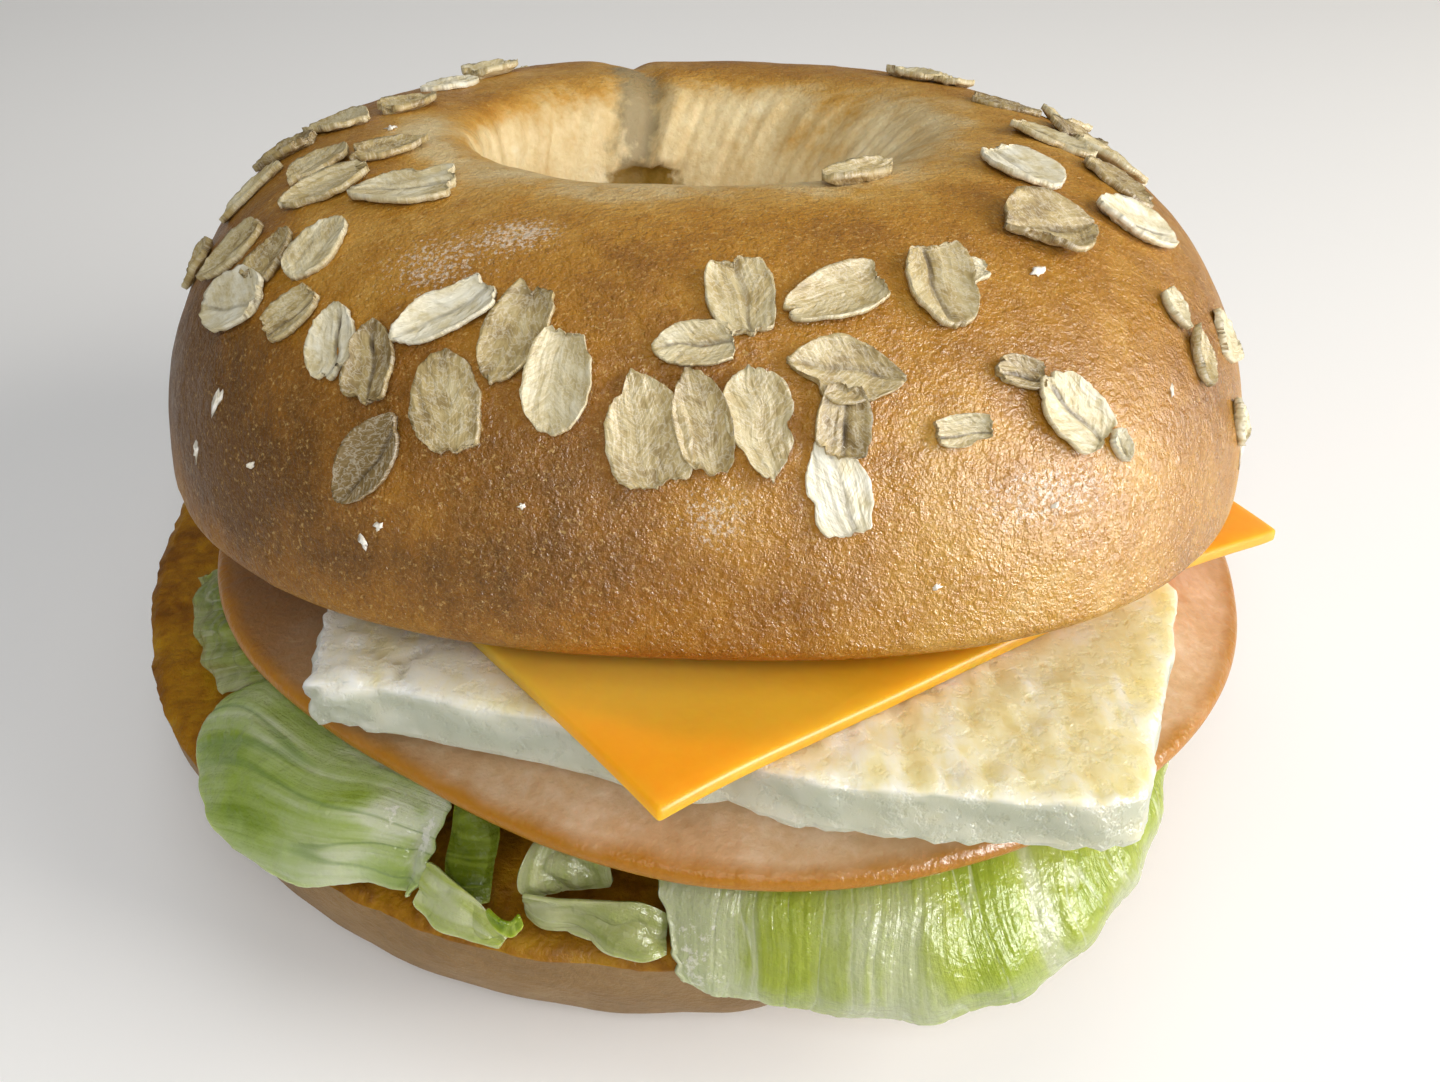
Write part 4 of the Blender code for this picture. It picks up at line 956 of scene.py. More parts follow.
def rolled_flake(length, width, torn_ends, number):
    """One rolled oat flake: a ragged, partly broken oval with a crease and fibres that fan out of it."""
    draw = random.Random(number)
    flake = bmesh.new()
    own = new_layers(flake, FLAKE_LAYERS)
    bmesh.ops.create_grid(flake, x_segments=FLAKE_CELLS[0], y_segments=FLAKE_CELLS[1], size=1.0)
    seed = Vector((number * 7.31, number * 3.17, 0.0))
    tone = draw.uniform(0.0, 1.0) if number != DARK_FLAKE else DARK_TONE
    curl = draw.uniform(0.4, 1.8)
    twist = draw.uniform(-0.5, 0.5)
    point = draw.uniform(-0.1, 0.3)
    groove = draw.choice((0.02, 0.14, 0.2, 0.25))
    fold = draw.uniform(-0.1, 0.55)
    off_centre = draw.uniform(-0.3, 0.3)
    slim = draw.uniform(0.0, 0.9)
    high_end = FLAKE_TORN_AT if torn_ends > 0 else 1.0
    low_end = FLAKE_TORN_AT if torn_ends > 1 else 1.0
    stretched = 2.0 / (high_end + low_end)
    bites = [
        (draw.uniform(-180.0, 180.0), draw.uniform(8.0, 18.0), draw.uniform(-0.25, 0.3)) for _ in range(3)
    ]
    for vertex in flake.verts:
        # u and v run from -1 to 1 along and across the oval
        u = vertex.co.x * math.sqrt(1.0 - vertex.co.y**2 / 2.0)
        v = vertex.co.y * math.sqrt(1.0 - vertex.co.x**2 / 2.0)
        rim = math.hypot(u, v)
        facing = math.degrees(math.atan2(v, u))
        edge = Vector((u, v, 0.0)) / max(rim, 0.001)
        bitten = max(0.0, max(depth * bump(facing, side, spread) for side, spread, depth in bites))
        jagged = noise.noise(edge * 4.0 + seed) * 0.06 + noise.noise(edge * 11.0 + seed) * 0.035
        ragged = 1.0 + rim**3 * (0.10 * noise.noise(edge * 1.3 + seed) + jagged - bitten)
        tear = 0.08 * waver(v * 2.0, 1.0, number) + 0.04 * waver(v * 8.0, 2.0, number)
        kept = u
        if torn_ends > 0 and u > high_end + tear:
            kept = mix(high_end + tear, u, 0.1)
        if torn_ends > 1 and u < -low_end + tear:
            kept = mix(-low_end + tear, u, 0.1)
        torn = smooth(abs(u - kept) * 12.0)
        pointed = max(0.02, 1.0 - u * u) ** (slim * 0.5)
        wide = v * pointed * (1.0 + 0.2 * slim) * (1.0 - point * u) * width / 2.0 * ragged
        long = (kept + (low_end - high_end) / 2.0) * stretched * length / 2.0 * ragged
        away = v - waver(u * 1.6, 0.5, number) * 0.2 - off_centre
        deep = smooth((1.0 - abs(u)) * 2.5) * (0.7 + 0.5 * waver(u * 3.0, 3.0, number))
        lips = hump(abs(away), FLAKE_LIP_PLACE, FLAKE_LIP_WIDTH) * 0.8
        crease = groove * (lips - hump(away, 0.0, FLAKE_CREASE_WIDTH)) * deep
        fan = u + 0.5 * abs(away)
        fibres = waver(fan * 7.0, away * 1.6, number) * FLAKE_FIBRE_HEIGHT * smooth(abs(away) * 5.0)
        rolls = waver(u * 1.4, away * 5.0, number + 0.5) * FLAKE_FIBRE_HEIGHT
        bend = curl * rim**3 * 0.45 + twist * u * v * 0.8 + fold * abs(away) * width / 5.0
        values = (fan, away, tone, max(rim, torn * 1.15), smooth(groove * 4.0) * deep)
        carry(vertex, own, dict(zip(FLAKE_LAYERS, values)))
        vertex.co = Vector((long, wide, crease + fibres + rolls + bend))
    bmesh.ops.solidify(flake, geom=flake.faces[:], thickness=FLAKE_THICKNESS)
    bmesh.ops.recalc_face_normals(flake, faces=flake.faces)
    return flake, own


def set_on_crust(shape, layers, placing, number):
    """Makes one flake and sets it on the crust, in the shape that holds them all."""
    azimuth, station, turn, length, width, torn_ends = placing
    flake, own = rolled_flake(length, width, torn_ends, number)
    spot, along, across, out = flake_frame(azimuth, station, turn)
    lowest = min(vertex.co.z for vertex in flake.verts if abs(vertex.co.x) < length * 0.2)
    turned = Matrix((along, across, out)).transposed()
    lift = out * (FLAKE_LIFT - FLAKE_THICKNESS * 0.5 - lowest * 0.3)
    known = []
    for vertex in flake.verts:
        copy = shape.verts.new(spot + lift + turned @ vertex.co)
        carry(copy, layers, {name: vertex[own[name]] for name in FLAKE_LAYERS})
        known.append(copy)
    flake.verts.index_update()
    for face in flake.faces:
        shape.faces.new([known[vertex.index] for vertex in face.verts])
    flake.free()


def scattered_flakes():
    """Flakes on the far side of the ring, where the view from the front doesn't reach."""
    draw = random.Random(11)
    placings = []
    for azimuth in (58, 76, 92, 108, 122):
        station = draw.uniform(30, 70)
        size = (draw.uniform(7, 9), draw.uniform(4.6, 5.6))
        placings.append((azimuth, station, draw.uniform(-90, 90), *size, draw.choice((0, 1))))
    return placings


def make_oat_flakes(material):
    shape = bmesh.new()
    layers = new_layers(shape, FLAKE_LAYERS)
    for number, placing in enumerate((*BROW_FLAKES, *RIGHT_FLAKES, *LEFT_FLAKES, *scattered_flakes())):
        set_on_crust(shape, layers, placing, number)
    return finished("oat_flakes", shape, material, top_matrix())


def make_specks(material):
    shape = bmesh.new()
    for number, (azimuth, station, turn, length, width) in enumerate(SPECKS):
        spot, along, across, out = flake_frame(azimuth, station, turn)
        speck = bmesh.ops.create_icosphere(shape, subdivisions=2, radius=0.5)["verts"]
        for vertex in speck:
            rough = 0.8 + 1.3 * noise.noise(vertex.co * 2.6 + Vector((number, 0.0, 0.0)))
            own = vertex.co * rough
            vertex.co = spot + along * own.x * length + across * own.y * width + out * (own.z * 0.5 + 0.12)
    return finished("flour_specks", shape, material, top_matrix())


def speck_material():
    # Dried flour and broken oats: matt and nearly white
    material, tree, shader = new_material("dried flour", Roughness=0.8, Metallic=0.0, IOR=1.45)
    stops = ((0.35, "#E2D8C0"), (0.6, "#F7F3E8"))
    dress(tree, shader, add(tree, "ShaderNodeValToRGB", {"Fac": pattern(tree, 0.8)}, stops))
    return material


def oat_material():
    # Oats steamed and rolled flat: dry and matt, cream with pale veins, a brown crease darkened further as
    # painted shade, and a white floury edge where they broke
    material, tree, shader = new_material("rolled oat flakes", Roughness=0.6, Metallic=0.0, IOR=1.45)
    fan, across, tone, rim, deep = carried(tree, *FLAKE_LAYERS)
    place = add(tree, "ShaderNodeCombineXYZ", {"X": fan, "Y": across, "Z": tone})
    ribs = drawn_noise(tree, place, (8.0, 2.2, 40.0), 4.0)
    runs = drawn_noise(tree, place, (1.8, 6.0, 40.0), 4.0)
    tint = mottle(
        tree,
        ((0.05, "#80693A"), (0.3, "#B49F69"), (0.55, "#CDC096"), (0.85, "#ECE8D4")),
        0.42,
        (ribs, 0.25, 0.5),
        (runs, 0.35, 0.5),
        (pattern(tree, 2.4, 4.0, 0.6), 0.9, 0.5),
        (tone, 0.6, 0.5),
    )
    net = ridges(tree, pattern(tree, 1.2, 2.0, 0.6))
    veins = add(tree, "ShaderNodeMath", {0: ridges(tree, ribs), 1: net}, operation="MINIMUM")
    tint = coat(tree, tint, "#F4EEDC", veins, ((0.0, "#999999"), (0.03, "#000000")))
    flour_and_glitter = sums(tree, rim, (pattern(tree, 2.2, 3.0), 2.2, 0.5))
    tint = coat(tree, tint, "#F6F3E8", flour_and_glitter, ((1.02, "#000000"), (1.14, "#FFFFFF")))
    # The crease: its own brown line, painted darker as the shade in its groove
    away = add(tree, "ShaderNodeMath", {0: across}, operation="ABSOLUTE")
    crease_shade_band = sums(tree, away, (runs, 0.3, 0.5))
    crease_shade_stops = ((0.0, "#FFFFFF"), (0.05, "#DDDDDD"), (0.12, "#000000"))
    crease = add(tree, "ShaderNodeValToRGB", {"Fac": crease_shade_band}, crease_shade_stops)
    crease = add(tree, "ShaderNodeMath", {0: crease, 1: deep}, operation="MULTIPLY")
    dress(tree, shader, coat(tree, tint, "#3A280F", crease), (ribs, 0.3, 0.8), (runs, 0.3, 0.8))
    return material


# Cheese and ham


def stack_matrix():
    return leaned(CHEDDAR_CORNER, STACK_LEAN, STACK_ROLL)


def stack_height(across, depth):
    """Height of the cheddar's underside over a point of the table."""
    lean = math.tan(math.radians(STACK_LEAN)) * (depth - CHEDDAR_CORNER[1])
    roll = math.tan(math.radians(STACK_ROLL)) * (across - CHEDDAR_CORNER[0])
    return CHEDDAR_CORNER[2] + lean - roll


def make_cheddar(material):
    shape = bmesh.new()
    inner = shape.verts.layers.float.new("inner")
    bmesh.ops.create_cube(shape, size=1.0)
    bmesh.ops.scale(shape, vec=(CHEDDAR_SIDE, CHEDDAR_SIDE, CHEDDAR_THICKNESS), verts=shape.verts)
    round_over(shape, shape.edges[:], CHEDDAR_EDGE)
    cut_into_cells(shape, CHEDDAR_CELL, (0, 1))
    turn = Matrix.Rotation(math.radians(CHEDDAR_TURN), 4, "Z")
    for vertex in shape.verts:
        flat = Vector((vertex.co.x, vertex.co.y, 0.0))
        level = vertex.co.z
        side_tip = max(0.0, -flat.x * flat.y) * 4.0 / CHEDDAR_SIDE**2
        flat -= flat.normalized() * CHEDDAR_TIP_PULL * side_tip**8
        spot = turn @ (flat + Vector((CHEDDAR_SIDE / 2, CHEDDAR_SIDE / 2, 0.0)))
        # Painted light: marks the part under the bread's brow, where its shadow falls, for a paler tint
        vertex[inner] = smooth((spot.y - 3.0) / 20.0) * smooth((20.0 - spot.x) / 24.0)
        right_tip = max(0.0, spot.x - CHEDDAR_RIGHT_BEND) ** 2 * CHEDDAR_RIGHT_SAG
        front_tip = max(0.0, CHEDDAR_FRONT_BEND - spot.y) ** 2 * CHEDDAR_FRONT_SAG
        wave = noise.noise(spot / CHEDDAR_WAVE_SIZE) * CHEDDAR_WAVE_HEIGHT
        spot.z = CHEDDAR_THICKNESS / 2 + level - right_tip - front_tip + wave
        vertex.co = spot
    return finished("cheddar", shape, material, stack_matrix())


def cheddar_material():
    # Processed cheddar cut by wire: smooth and slightly oily, waxy orange with light in its edges
    material, tree, shader = new_material(
        "sliced cheddar", Roughness=0.45, Metallic=0.0, IOR=1.4, Specular_IOR_Level=0.3,
        Subsurface_Weight=0.7, Subsurface_Radius=(1.0, 0.42, 0.1), Subsurface_Scale=0.010,
    )
    stops = ((0.25, "#F0900E"), (0.5, "#F89E1A"), (0.75, "#FCAA2C"))
    clouds = (pattern(tree, 22.0, 3.0), 0.7, 0.5)
    tint = mottle(tree, stops, 0.5, clouds, (pattern(tree, 2.0, 3.0), 0.2, 0.5))
    # Painted light: paler orange under the brow, to lift the bread's shadow there
    painted_light_under_brow = sums(tree, 0.0, (*carried(tree, "inner"), 0.7, 0.0))
    dress(tree, shader, coat(tree, tint, "#FFB850", painted_light_under_brow), (pattern(tree, 1.2, 3.0), 0.06, 0.5))
    return material


def crack_at(spot):
    """How deep a point of the slab's upper face lies in its cracks, from 0 to 1."""
    if spot.z <= -SLAB_SUNK - 0.2:
        return 0.0
    crack = 0.0
    for start, turn, length in SLAB_CRACKS:
        away = Vector((spot.x - start[0], spot.y - start[1]))
        heading = Vector((math.cos(math.radians(turn)), math.sin(math.radians(turn))))
        run = min(max(away.dot(heading), 0.0), length)
        gap = (away - heading * run).length + 0.3 * noise.noise(spot * 1.5)
        crack = max(crack, hump(gap, 0.0, SLAB_CRACK_WIDTH) * (1.0 - run / length * 0.5))
    return crack


def make_white_cheese(material):
    shape = bmesh.new()
    corners = [shape.verts.new((across, depth, -SLAB_SUNK)) for across, depth in SLAB_OUTLINE]
    top = shape.faces.new(corners)
    extruded = bmesh.ops.extrude_face_region(shape, geom=[top])
    moved = [item for item in extruded["geom"] if isinstance(item, bmesh.types.BMVert)]
    bmesh.ops.translate(shape, vec=(0.0, 0.0, -SLAB_THICKNESS), verts=moved)
    bmesh.ops.recalc_face_normals(shape, faces=shape.faces)
    rims = [edge for edge in shape.edges if abs(edge.verts[0].co.z - edge.verts[1].co.z) < 0.1]
    round_over(shape, rims, SLAB_EDGE_ROUND)
    cut_into_cells(shape, SLAB_CELL, (0, 1, 2))
    bmesh.ops.triangulate(shape, faces=[face for face in shape.faces if len(face.verts) > 4])
    cracks = shape.verts.layers.float.new("crack")
    for vertex in shape.verts:
        vertex[cracks] = crack_at(vertex.co)

    def crumbly(spot):
        middle = abs(spot.z + SLAB_SUNK + SLAB_THICKNESS / 2)
        face = smooth((middle - SLAB_THICKNESS / 2 + 0.8) / 0.8)
        torn = smooth((SLAB_TORN_FROM - spot.x) / SLAB_TORN_RAMP)
        broad = noise.noise(spot / SLAB_BROAD_SIZE) * mix(0.4, 0.2, face)
        fine = noise.fractal(spot / SLAB_FINE_SIZE, 0.7, 2.0, 3) * mix(0.16, 0.08, face)
        curds = waver(spot.x / SLAB_CURD_WIDTH, spot.y / SLAB_CURD_LENGTH, 1.0)
        curds += 0.6 * noise.noise(spot / SLAB_CURD_FINE)
        wrinkled = smooth((spot.x - 4.0) / 8.0) * smooth((30.0 - spot.y) / 16.0) * face
        lobes = abs(noise.noise(spot / SLAB_LOBE_SIZE + Vector((9.0, 0.0, 0.0)))) * 2.4 - 0.6
        raised = broad + fine + curds * wrinkled * SLAB_CURD_HEIGHT + lobes * torn * SLAB_LOBE_HEIGHT
        return raised - crack_at(spot) * SLAB_CRACK_DEPTH

    push_out(shape, crumbly)
    return finished("white_cheese", shape, material, stack_matrix())


def white_cheese_material():
    # Fresh pressed curd, torn and cut: moist, so it glows a little; creamy yellow on its upper face and
    # yellower towards its right end. Its sides are tinted cooler and grey-green, and its cracks grey-brown,
    # as painted shade
    material, tree, shader = new_material(
        "white cheese", Roughness=0.36, Metallic=0.0, IOR=1.4, Specular_IOR_Level=0.35,
        Subsurface_Weight=0.8, Subsurface_Radius=(1.0, 0.9, 0.7), Subsurface_Scale=0.009,
    )
    facing = add(tree, "ShaderNodeNewGeometry", out="Normal")
    upward = add(tree, "ShaderNodeSeparateXYZ", {"Vector": facing}, out="Z")
    place = add(tree, "ShaderNodeTexCoord", out="Object")
    tint = mottle(
        tree,
        ((0.1, "#DBCC90"), (0.35, "#E6DDB2"), (0.6, "#EAE7D6"), (0.85, "#E0E2DA")),
        0.60,
        (pattern(tree, 4.0, 4.0, 0.6, (1.3, 0.35, 1.0)), 1.1, 0.5),
        (pattern(tree, 1.6, 4.0, 0.6), 0.4, 0.5),
        # Painted shade: faces that point sideways lean to the cooler tints
        (upward, -0.25, 0.5),
        (add(tree, "ShaderNodeSeparateXYZ", {"Vector": place}, out="X"), -4.0, 0.0),
    )
    # Painted shade: faces that point sideways are coated grey-green
    tint = coat(tree, tint, "#AEB2A0", upward, ((0.1, "#FFFFFF"), (0.75, "#000000")))
    # Painted shade: the cracks are coloured grey-brown for the shade in them
    tint = coat(tree, tint, "#8C7C58", sums(tree, 0.0, (*carried(tree, "crack"), 0.45, 0.0)))
    pit_stops = ((0.25, "#000000"), (0.5, "#FFFFFF"))
    pits = add(tree, "ShaderNodeValToRGB", {"Fac": pattern(tree, 1.5, 3.0, 0.6)}, pit_stops)
    dress(tree, shader, tint, (pattern(tree, 1.0, 5.0, 0.6), 0.2, 0.6), (pits, 0.32, 0.8))
    return material


def ham_top(across, depth, reach, azimuth):
    """Height of the ham's upper face: under the slab, then rising behind it, with a hanging rim."""
    under_slab = stack_height(across, depth) - SLAB_THICKNESS - HAM_CLEARANCE
    back = HAM_BACK_RISE * smooth((depth - HAM_BACK_START) / HAM_BACK_LENGTH)
    front = HAM_FRONT_DROOP * bump(azimuth, HAM_FRONT_AZIMUTH, HAM_FRONT_SPREAD)
    right = HAM_RIGHT_DROOP * bump(azimuth, HAM_RIGHT_AZIMUTH, HAM_RIGHT_SPREAD)
    hang = smooth((reach - HAM_DROOP_START) / (1.0 - HAM_DROOP_START))
    return under_slab + back - (front + right) * hang


def make_ham(material):
    half = HAM_THICKNESS / 2
    upper = [(ring * (HAM_RADIUS - half) / HAM_RINGS, half) for ring in range(HAM_RINGS + 1)]
    round_edge = []
    for step in range(1, 12):
        angle = math.radians(90.0 - 180.0 * step / 12)
        round_edge.append((HAM_RADIUS - half + half * math.cos(angle), half * math.sin(angle)))
    lower = [(radius, -height) for radius, height in reversed(upper)]
    shape = spun(upper + round_edge + lower, HAM_STEPS, closed=False)
    layers = new_layers(shape, HAM_LAYERS)
    for vertex in shape.verts:
        azimuth = azimuth_of(vertex.co)
        reach = math.hypot(vertex.co.x, vertex.co.y) / HAM_RADIUS
        carry(vertex, layers, {"rim": reach, "shaded_left": bump(azimuth, HAM_SHADE_AZIMUTH, HAM_SHADE_SPREAD)})
        dent = 1.0 - HAM_DENT * bump(azimuth, HAM_DENT_AZIMUTH, HAM_DENT_SPREAD) / HAM_RADIUS
        across = HAM_CENTRE[0] + vertex.co.x * dent
        depth = HAM_CENTRE[1] + vertex.co.y * dent
        height = ham_top(across, depth, reach, azimuth) - half + vertex.co.z
        wave = waver(across / HAM_WAVE_SIZE, depth / HAM_WAVE_SIZE, 0.0) * HAM_WAVE_HEIGHT
        vertex.co = Vector((across, depth, height + wave))
    return finished("ham", shape, material)


def ham_material():
    # Cooked and smoked ham cut thin: moist pale meat, browned by smoke at its rim, painted dark at its left
    # as shade
    material, tree, shader = new_material(
        "cooked ham", Roughness=0.3, Metallic=0.0, IOR=1.4, Specular_IOR_Level=0.3, Subsurface_Weight=0.25,
        Subsurface_Radius=(1.0, 0.4, 0.25), Subsurface_Scale=0.004,
    )
    rim, shaded_left = carried(tree, *HAM_LAYERS)
    stops = ((0.2, "#BC9466"), (0.5, "#D0AC84"), (0.8, "#E4CBAC"))
    clouds = (pattern(tree, 9.0, 4.0, 0.6), 0.9, 0.5)
    tint = mottle(tree, stops, 0.5, clouds, (pattern(tree, 1.2, 3.0), 0.4, 0.5))
    # Painted shade: the left part of the slice is coated dark brown
    tint = coat(tree, tint, "#7E5834", sums(tree, 0.0, (shaded_left, 0.8, 0.0)))
    smoke = sums(tree, rim, (pattern(tree, 6.0, 3.0), 0.04, 0.5))
    smoke_stops = ((0.91, "#000000"), (0.965, "#666666"), (0.995, "#FFFFFF"))
    tint = coat(tree, tint, "#A97320", smoke, smoke_stops)
    dress(tree, shader, tint, (pattern(tree, 2.2, 3.0), 0.35, 0.7), (pattern(tree, 0.6, 3.0), 0.16, 0.8))
    return material


# Lettuce


def spline_point(points, share):
    """A point on the smooth curve through a few points, with share from 0 to 1."""
    last = len(points) - 1
    place = share * last
    start = min(int(place), last - 1)
    step = place - start
    before = points[max(start - 1, 0)]
    first = points[start]
    second = points[start + 1]
    after = points[min(start + 2, last)]
    slope_in = (second - before) * 0.5
    slope_out = (after - first) * 0.5
    cubic = (first - second) * 2.0 + slope_in + slope_out
    square = (second - first) * 3.0 - slope_in * 2.0 - slope_out
    return ((cubic * step + square) * step + slope_in) * step + first


def leaf_point(columns, along, outward):
    return spline_point([spline_point(column, outward) for column in columns], along)


def path_length(points):
    return sum((after - before).length for before, after in zip(points, points[1:]))


def make_leaf(
    name, columns, cells, material, pleats=1, depth=0.0, greens=(), across=False, taper=0.0, rib_size=3.4,
    fold=None, crumple=0.1, line_size=2.6, line_edge=13.0,
):
    """A thin leaf through its control points, pleated, ribbed, and wavy at its outer margin."""
    columns = [[Vector(point) for point in column] for column in columns]
    middle = len(columns[0]) // 2
    wide = path_length([column[middle] for column in columns])
    deep = path_length(columns[len(columns) // 2])
    shape = bmesh.new()
    layers = new_layers(shape, LEAF_LAYERS)
    bmesh.ops.create_grid(shape, x_segments=cells[0], y_segments=cells[1], size=0.5)
    seed = float(len(name)) * 3.7
    frill = LEAF_FRILL * min(1.0, deep / 25.0)
    for vertex in shape.verts:
        along = vertex.co.x + 0.5
        outward = vertex.co.y * (1.0 - taper * abs(2.0 * vertex.co.x) ** 6) + 0.5
        spot = leaf_point(columns, along, outward)
        ahead = leaf_point(columns, min(along + LEAF_NUDGE, 1.0), outward)
        behind = leaf_point(columns, max(along - LEAF_NUDGE, 0.0), outward)
        farther = leaf_point(columns, along, min(outward + LEAF_NUDGE, 1.0))
        nearer = leaf_point(columns, along, max(outward - LEAF_NUDGE, 0.0))
        slope_along = ahead - behind
        slope_out = farther - nearer
        normal = slope_along.cross(slope_out).normalized()
        wave = math.sin(2.0 * math.pi * pleats * (outward if across else along)) * depth
        # The ribs run along run, side by side across side, both in millimetres
        side, run = (outward * deep, along * wide) if across else (along * wide, outward * deep)
        side += waver(run / LEAF_FINE_RUN, side / LEAF_DRIFT_SIZE, seed) * LEAF_DRIFT
        rib = smooth(0.5 + 1.5 * waver(side / rib_size, run / LEAF_RIB_RUN, seed))
        line = abs(waver(side / line_size, run / LEAF_LINE_RUN, seed + 5.0)) * line_edge
        line = smooth(1.0 - min(1.0, line))
        fine = waver(side / LEAF_FINE_SIZE, run / LEAF_FINE_RUN, seed + 9.0)
        pucker = noise.noise(spot / LEAF_PUCKER_SIZE) * LEAF_PUCKER_HEIGHT
        pucker += (0.5 - 2.0 * abs(noise.noise(spot / LEAF_CRUMPLE_SIZE))) * crumple
        tucked = smooth(outward * 3.0)
        margin = smooth(outward * 4.0 - 3.0)
        bent = 0.0 if fold is None else hump(along, fold, LEAF_FOLD_WIDTH) * smooth(outward * 2.5 - 1.0)
        green = sum(
            amount * hump(along, centre, spread) * hump(outward, level, tall)
            for centre, level, spread, tall, amount in greens
        )
        carry(vertex, layers, dict(zip(LEAF_LAYERS, (side, run, line, outward, green))))
        lift = wave + rib * LEAF_RIB_HEIGHT + line * LEAF_LINE_HEIGHT + fine * LEAF_FINE_HEIGHT + pucker
        lift = lift * tucked + bent * LEAF_FOLD_HEIGHT
        lift += waver(along * wide / LEAF_WAVE_SIZE, 0.3, seed) * frill * margin
        ragged = waver(along * wide / LEAF_RAGGED_SIZE, 7.0, seed) * 0.7
        ragged += waver(along * wide / LEAF_NICK_SIZE, 9.0, seed) * 0.2
        ragged *= frill * margin
        ends = hump(min(along, 1.0 - along), 0.0, 0.05) * tucked
        tattered = waver(outward * deep / LEAF_TATTER_SIZE, along, seed + 3.0) * frill * LEAF_TATTER * ends
        vertex.co = spot + normal * lift
        vertex.co += slope_out.normalized() * ragged + slope_along.normalized() * tattered
    bmesh.ops.recalc_face_normals(shape, faces=shape.faces)
    leaf = finished(name, shape, material)
    solid = leaf.modifiers.new("Thickness", "SOLIDIFY")
    solid.thickness = LEAF_THICKNESS * MM
    solid.offset = 0.0
    solid.use_even_offset = False
    return leaf


def lettuce_material(name, greens, rib_tint, margin_tint, streak_scale):
    # Iceberg leaf, washed: thin, wet and glossy, so light passes through; ribs in another tone than the
    # blade, pale fine veins, a paler, nearly clear margin, and white specks painted as glints on its palest
    # places
    material, tree, shader = new_material(
        name, Roughness=0.22, Metallic=0.0, IOR=1.4, Specular_IOR_Level=0.2, Subsurface_Weight=0.5,
        Subsurface_Radius=(0.8, 1.0, 0.35), Subsurface_Scale=0.003,
    )
    side, run, line, outward, greener_and_painted_light = carried(tree, *LEAF_LAYERS)
    place = add(tree, "ShaderNodeCombineXYZ", {"X": side, "Y": run})
    streaks = drawn_noise(tree, place, (streak_scale, 0.06, 1.0), 4.0)
    tint = mottle(
        tree,
        tuple(zip(GREEN_STEPS, greens)),
        0.42,
        (greener_and_painted_light, 1.0, 0.0),
        (drawn_noise(tree, place, (0.2, 0.07, 1.0), 3.0), 0.8, 0.5),
        (streaks, 0.8, 0.5),
        (pattern(tree, 6.0, 4.0, 0.6), 0.5, 0.5),
    )
    rib = sums(tree, line, (streaks, 1.0, 0.5))
    tint = coat(tree, tint, rib_tint, rib, ((0.45, "#000000"), (1.1, "#BBBBBB")))
    veins = ridges(tree, pattern(tree, 3.2, 3.0, 0.6))
    tint = coat(tree, tint, "#F2F5E2", veins, ((0.0, "#222222"), (0.02, "#000000")))
    # Painted glints: white specks on the palest places of a leaf, for glints of light on its wet skin
    painted_leaf_glints = sums(tree, 0.0, (greener_and_painted_light, -1.0, 0.0), (pattern(tree, 0.9, 4.0, 0.7), 2.4, 0.5))
    tint = coat(tree, tint, "#F2F3E0", painted_leaf_glints, ((0.8, "#000000"), (1.1, "#BBBBBB")))
    margin = sums(tree, outward, (pattern(tree, 4.0, 3.0), 0.35, 0.5))
    tint = coat(tree, tint, margin_tint, margin, ((0.74, "#000000"), (1.0, "#AAAAAA")))
    wet = (pattern(tree, 1.7, 4.0, 0.6), 0.55, 0.7)
    dress(tree, shader, tint, (streaks, 0.5, 0.7), wet, (pattern(tree, 0.6, 2.0), 0.14, 0.7))
    return material


def bed_material():
    # The folded inner leaves, which show only in the dark gaps
    material, tree, shader = new_material("inner lettuce", Roughness=0.35, Metallic=0.0, IOR=1.38)
    stops = ((0.2, "#9FB25A"), (0.6, "#7E9440"), (0.9, "#5F7528"))
    dress(tree, shader, mottle(tree, stops, 0.5, (pattern(tree, 6.0, 3.0), 1.0, 0.5)))
    return material


# Studio


def make_studio():
    floor_shape = bmesh.new()
    bmesh.ops.create_grid(floor_shape, x_segments=1, y_segments=1, size=FLOOR_SIZE)
    bmesh.ops.translate(floor_shape, vec=(0.0, 0.0, -FLOOR_DROP), verts=floor_shape.verts)
    paint = new_material("pale floor", Base_Color=colour("#FAFAF9"), Roughness=0.8)[0]
    stage = [finished("floor", floor_shape, paint)]
    world = bpy.data.worlds.new("studio")
    world.use_nodes = True
    background = world.node_tree.nodes["Background"]
    background.inputs["Color"].default_value = colour("#FFFFFF")
    background.inputs["Strength"].default_value = SKY_STRENGTH
    bpy.context.scene.world = world
    for name, place, size, power, tint, diffuse in LAMPS:
        light = bpy.data.lights.new(name, "AREA")
        light.shape = "RECTANGLE"
        light.size, light.size_y = (side * MM for side in size)
        light.energy = power
        light.color = colour(tint)[:3]
        lamp = bpy.data.objects.new(name, light)
        lamp.visible_diffuse = diffuse
        lamp.location = (Vector(place) + SHIFT) * MM
        lamp.rotation_euler = (-lamp.location).to_track_quat("-Z", "Y").to_euler()
        bpy.context.scene.collection.objects.link(lamp)
        stage.append(lamp)


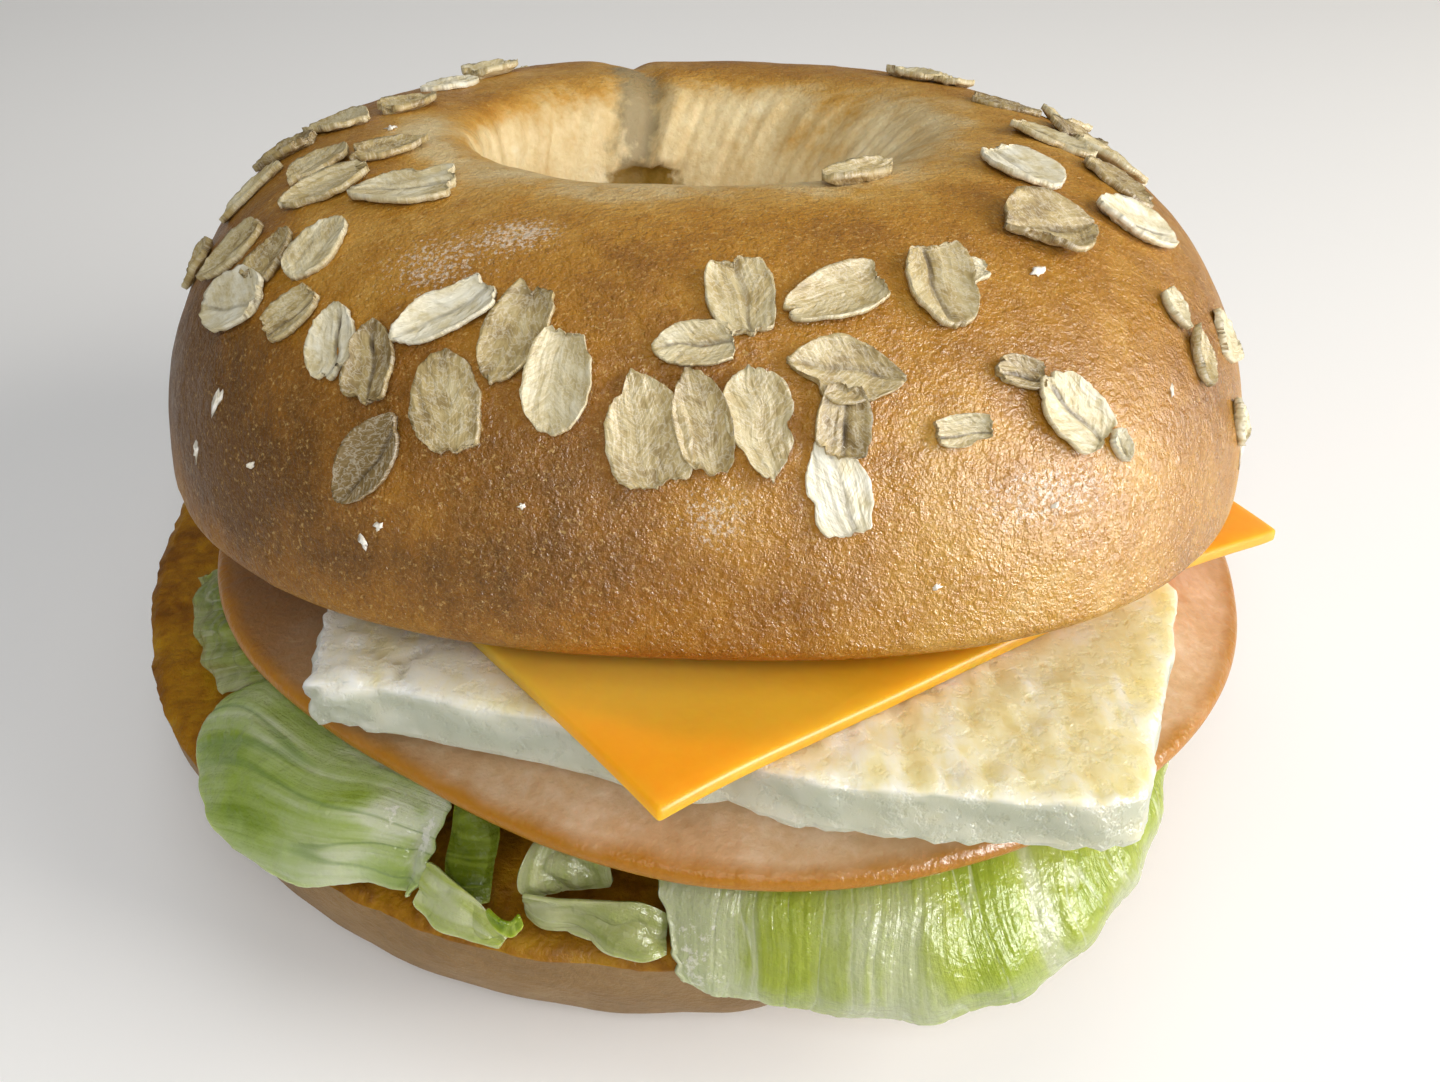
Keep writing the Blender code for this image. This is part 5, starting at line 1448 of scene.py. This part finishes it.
def make_camera():
    angle = math.radians(CAMERA_ELEVATION)
    back = Vector((0.0, -math.cos(angle), math.sin(angle)))
    camera = bpy.data.cameras.new("camera")
    camera.lens = CAMERA_LENS
    camera.sensor_width = CAMERA_SENSOR
    camera.clip_start = 0.01
    holder = bpy.data.objects.new("camera", camera)
    holder.location = (Vector(CAMERA_AIM) + back * CAMERA_DISTANCE + SHIFT) * MM
    holder.rotation_euler = (math.radians(90.0) - angle, 0.0, 0.0)
    bpy.context.scene.collection.objects.link(holder)
    bpy.context.scene.camera = holder


def stand_for(piece, node):
    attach(piece, "root")
    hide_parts(node)


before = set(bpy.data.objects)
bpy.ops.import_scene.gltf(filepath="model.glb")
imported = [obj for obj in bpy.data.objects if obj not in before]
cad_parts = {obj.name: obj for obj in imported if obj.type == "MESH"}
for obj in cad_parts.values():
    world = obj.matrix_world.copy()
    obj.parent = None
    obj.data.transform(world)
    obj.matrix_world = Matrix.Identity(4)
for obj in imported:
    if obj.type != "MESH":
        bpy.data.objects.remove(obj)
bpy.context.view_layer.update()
base_low, base_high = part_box("bagel_bottom")
base_middle = (base_low + base_high) / 2 / MM
SHIFT = Vector((base_middle.x - BASE_CENTRE[0], base_middle.y - BASE_CENTRE[1], 0.0))

stand_for(make_top_bread(crust_material()), "bagel_top")
stand_for(make_oat_flakes(oat_material()), "bagel_top")
stand_for(make_specks(speck_material()), "bagel_top")
stand_for(make_bottom_bread(lower_crust_material()), "bagel_bottom")
stand_for(make_cheddar(cheddar_material()), "cheddar_slice")
stand_for(make_white_cheese(white_cheese_material()), "white_cheese_slab")
stand_for(make_ham(ham_material()), "ham_slice")

lettuces = {name: lettuce_material(name, *values) for name, values in LETTUCES.items()}
for node, leaf_name, columns, cells, lettuce, options in LEAVES:
    leaf = make_leaf(leaf_name, columns, cells, lettuces[lettuce], **options)
    stand_for(leaf, node)

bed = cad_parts["lettuce_bed"]
bed.data.materials.clear()
bed.data.materials.append(bed_material())

make_studio()
make_camera()
bpy.context.scene.view_settings.view_transform = "Standard"
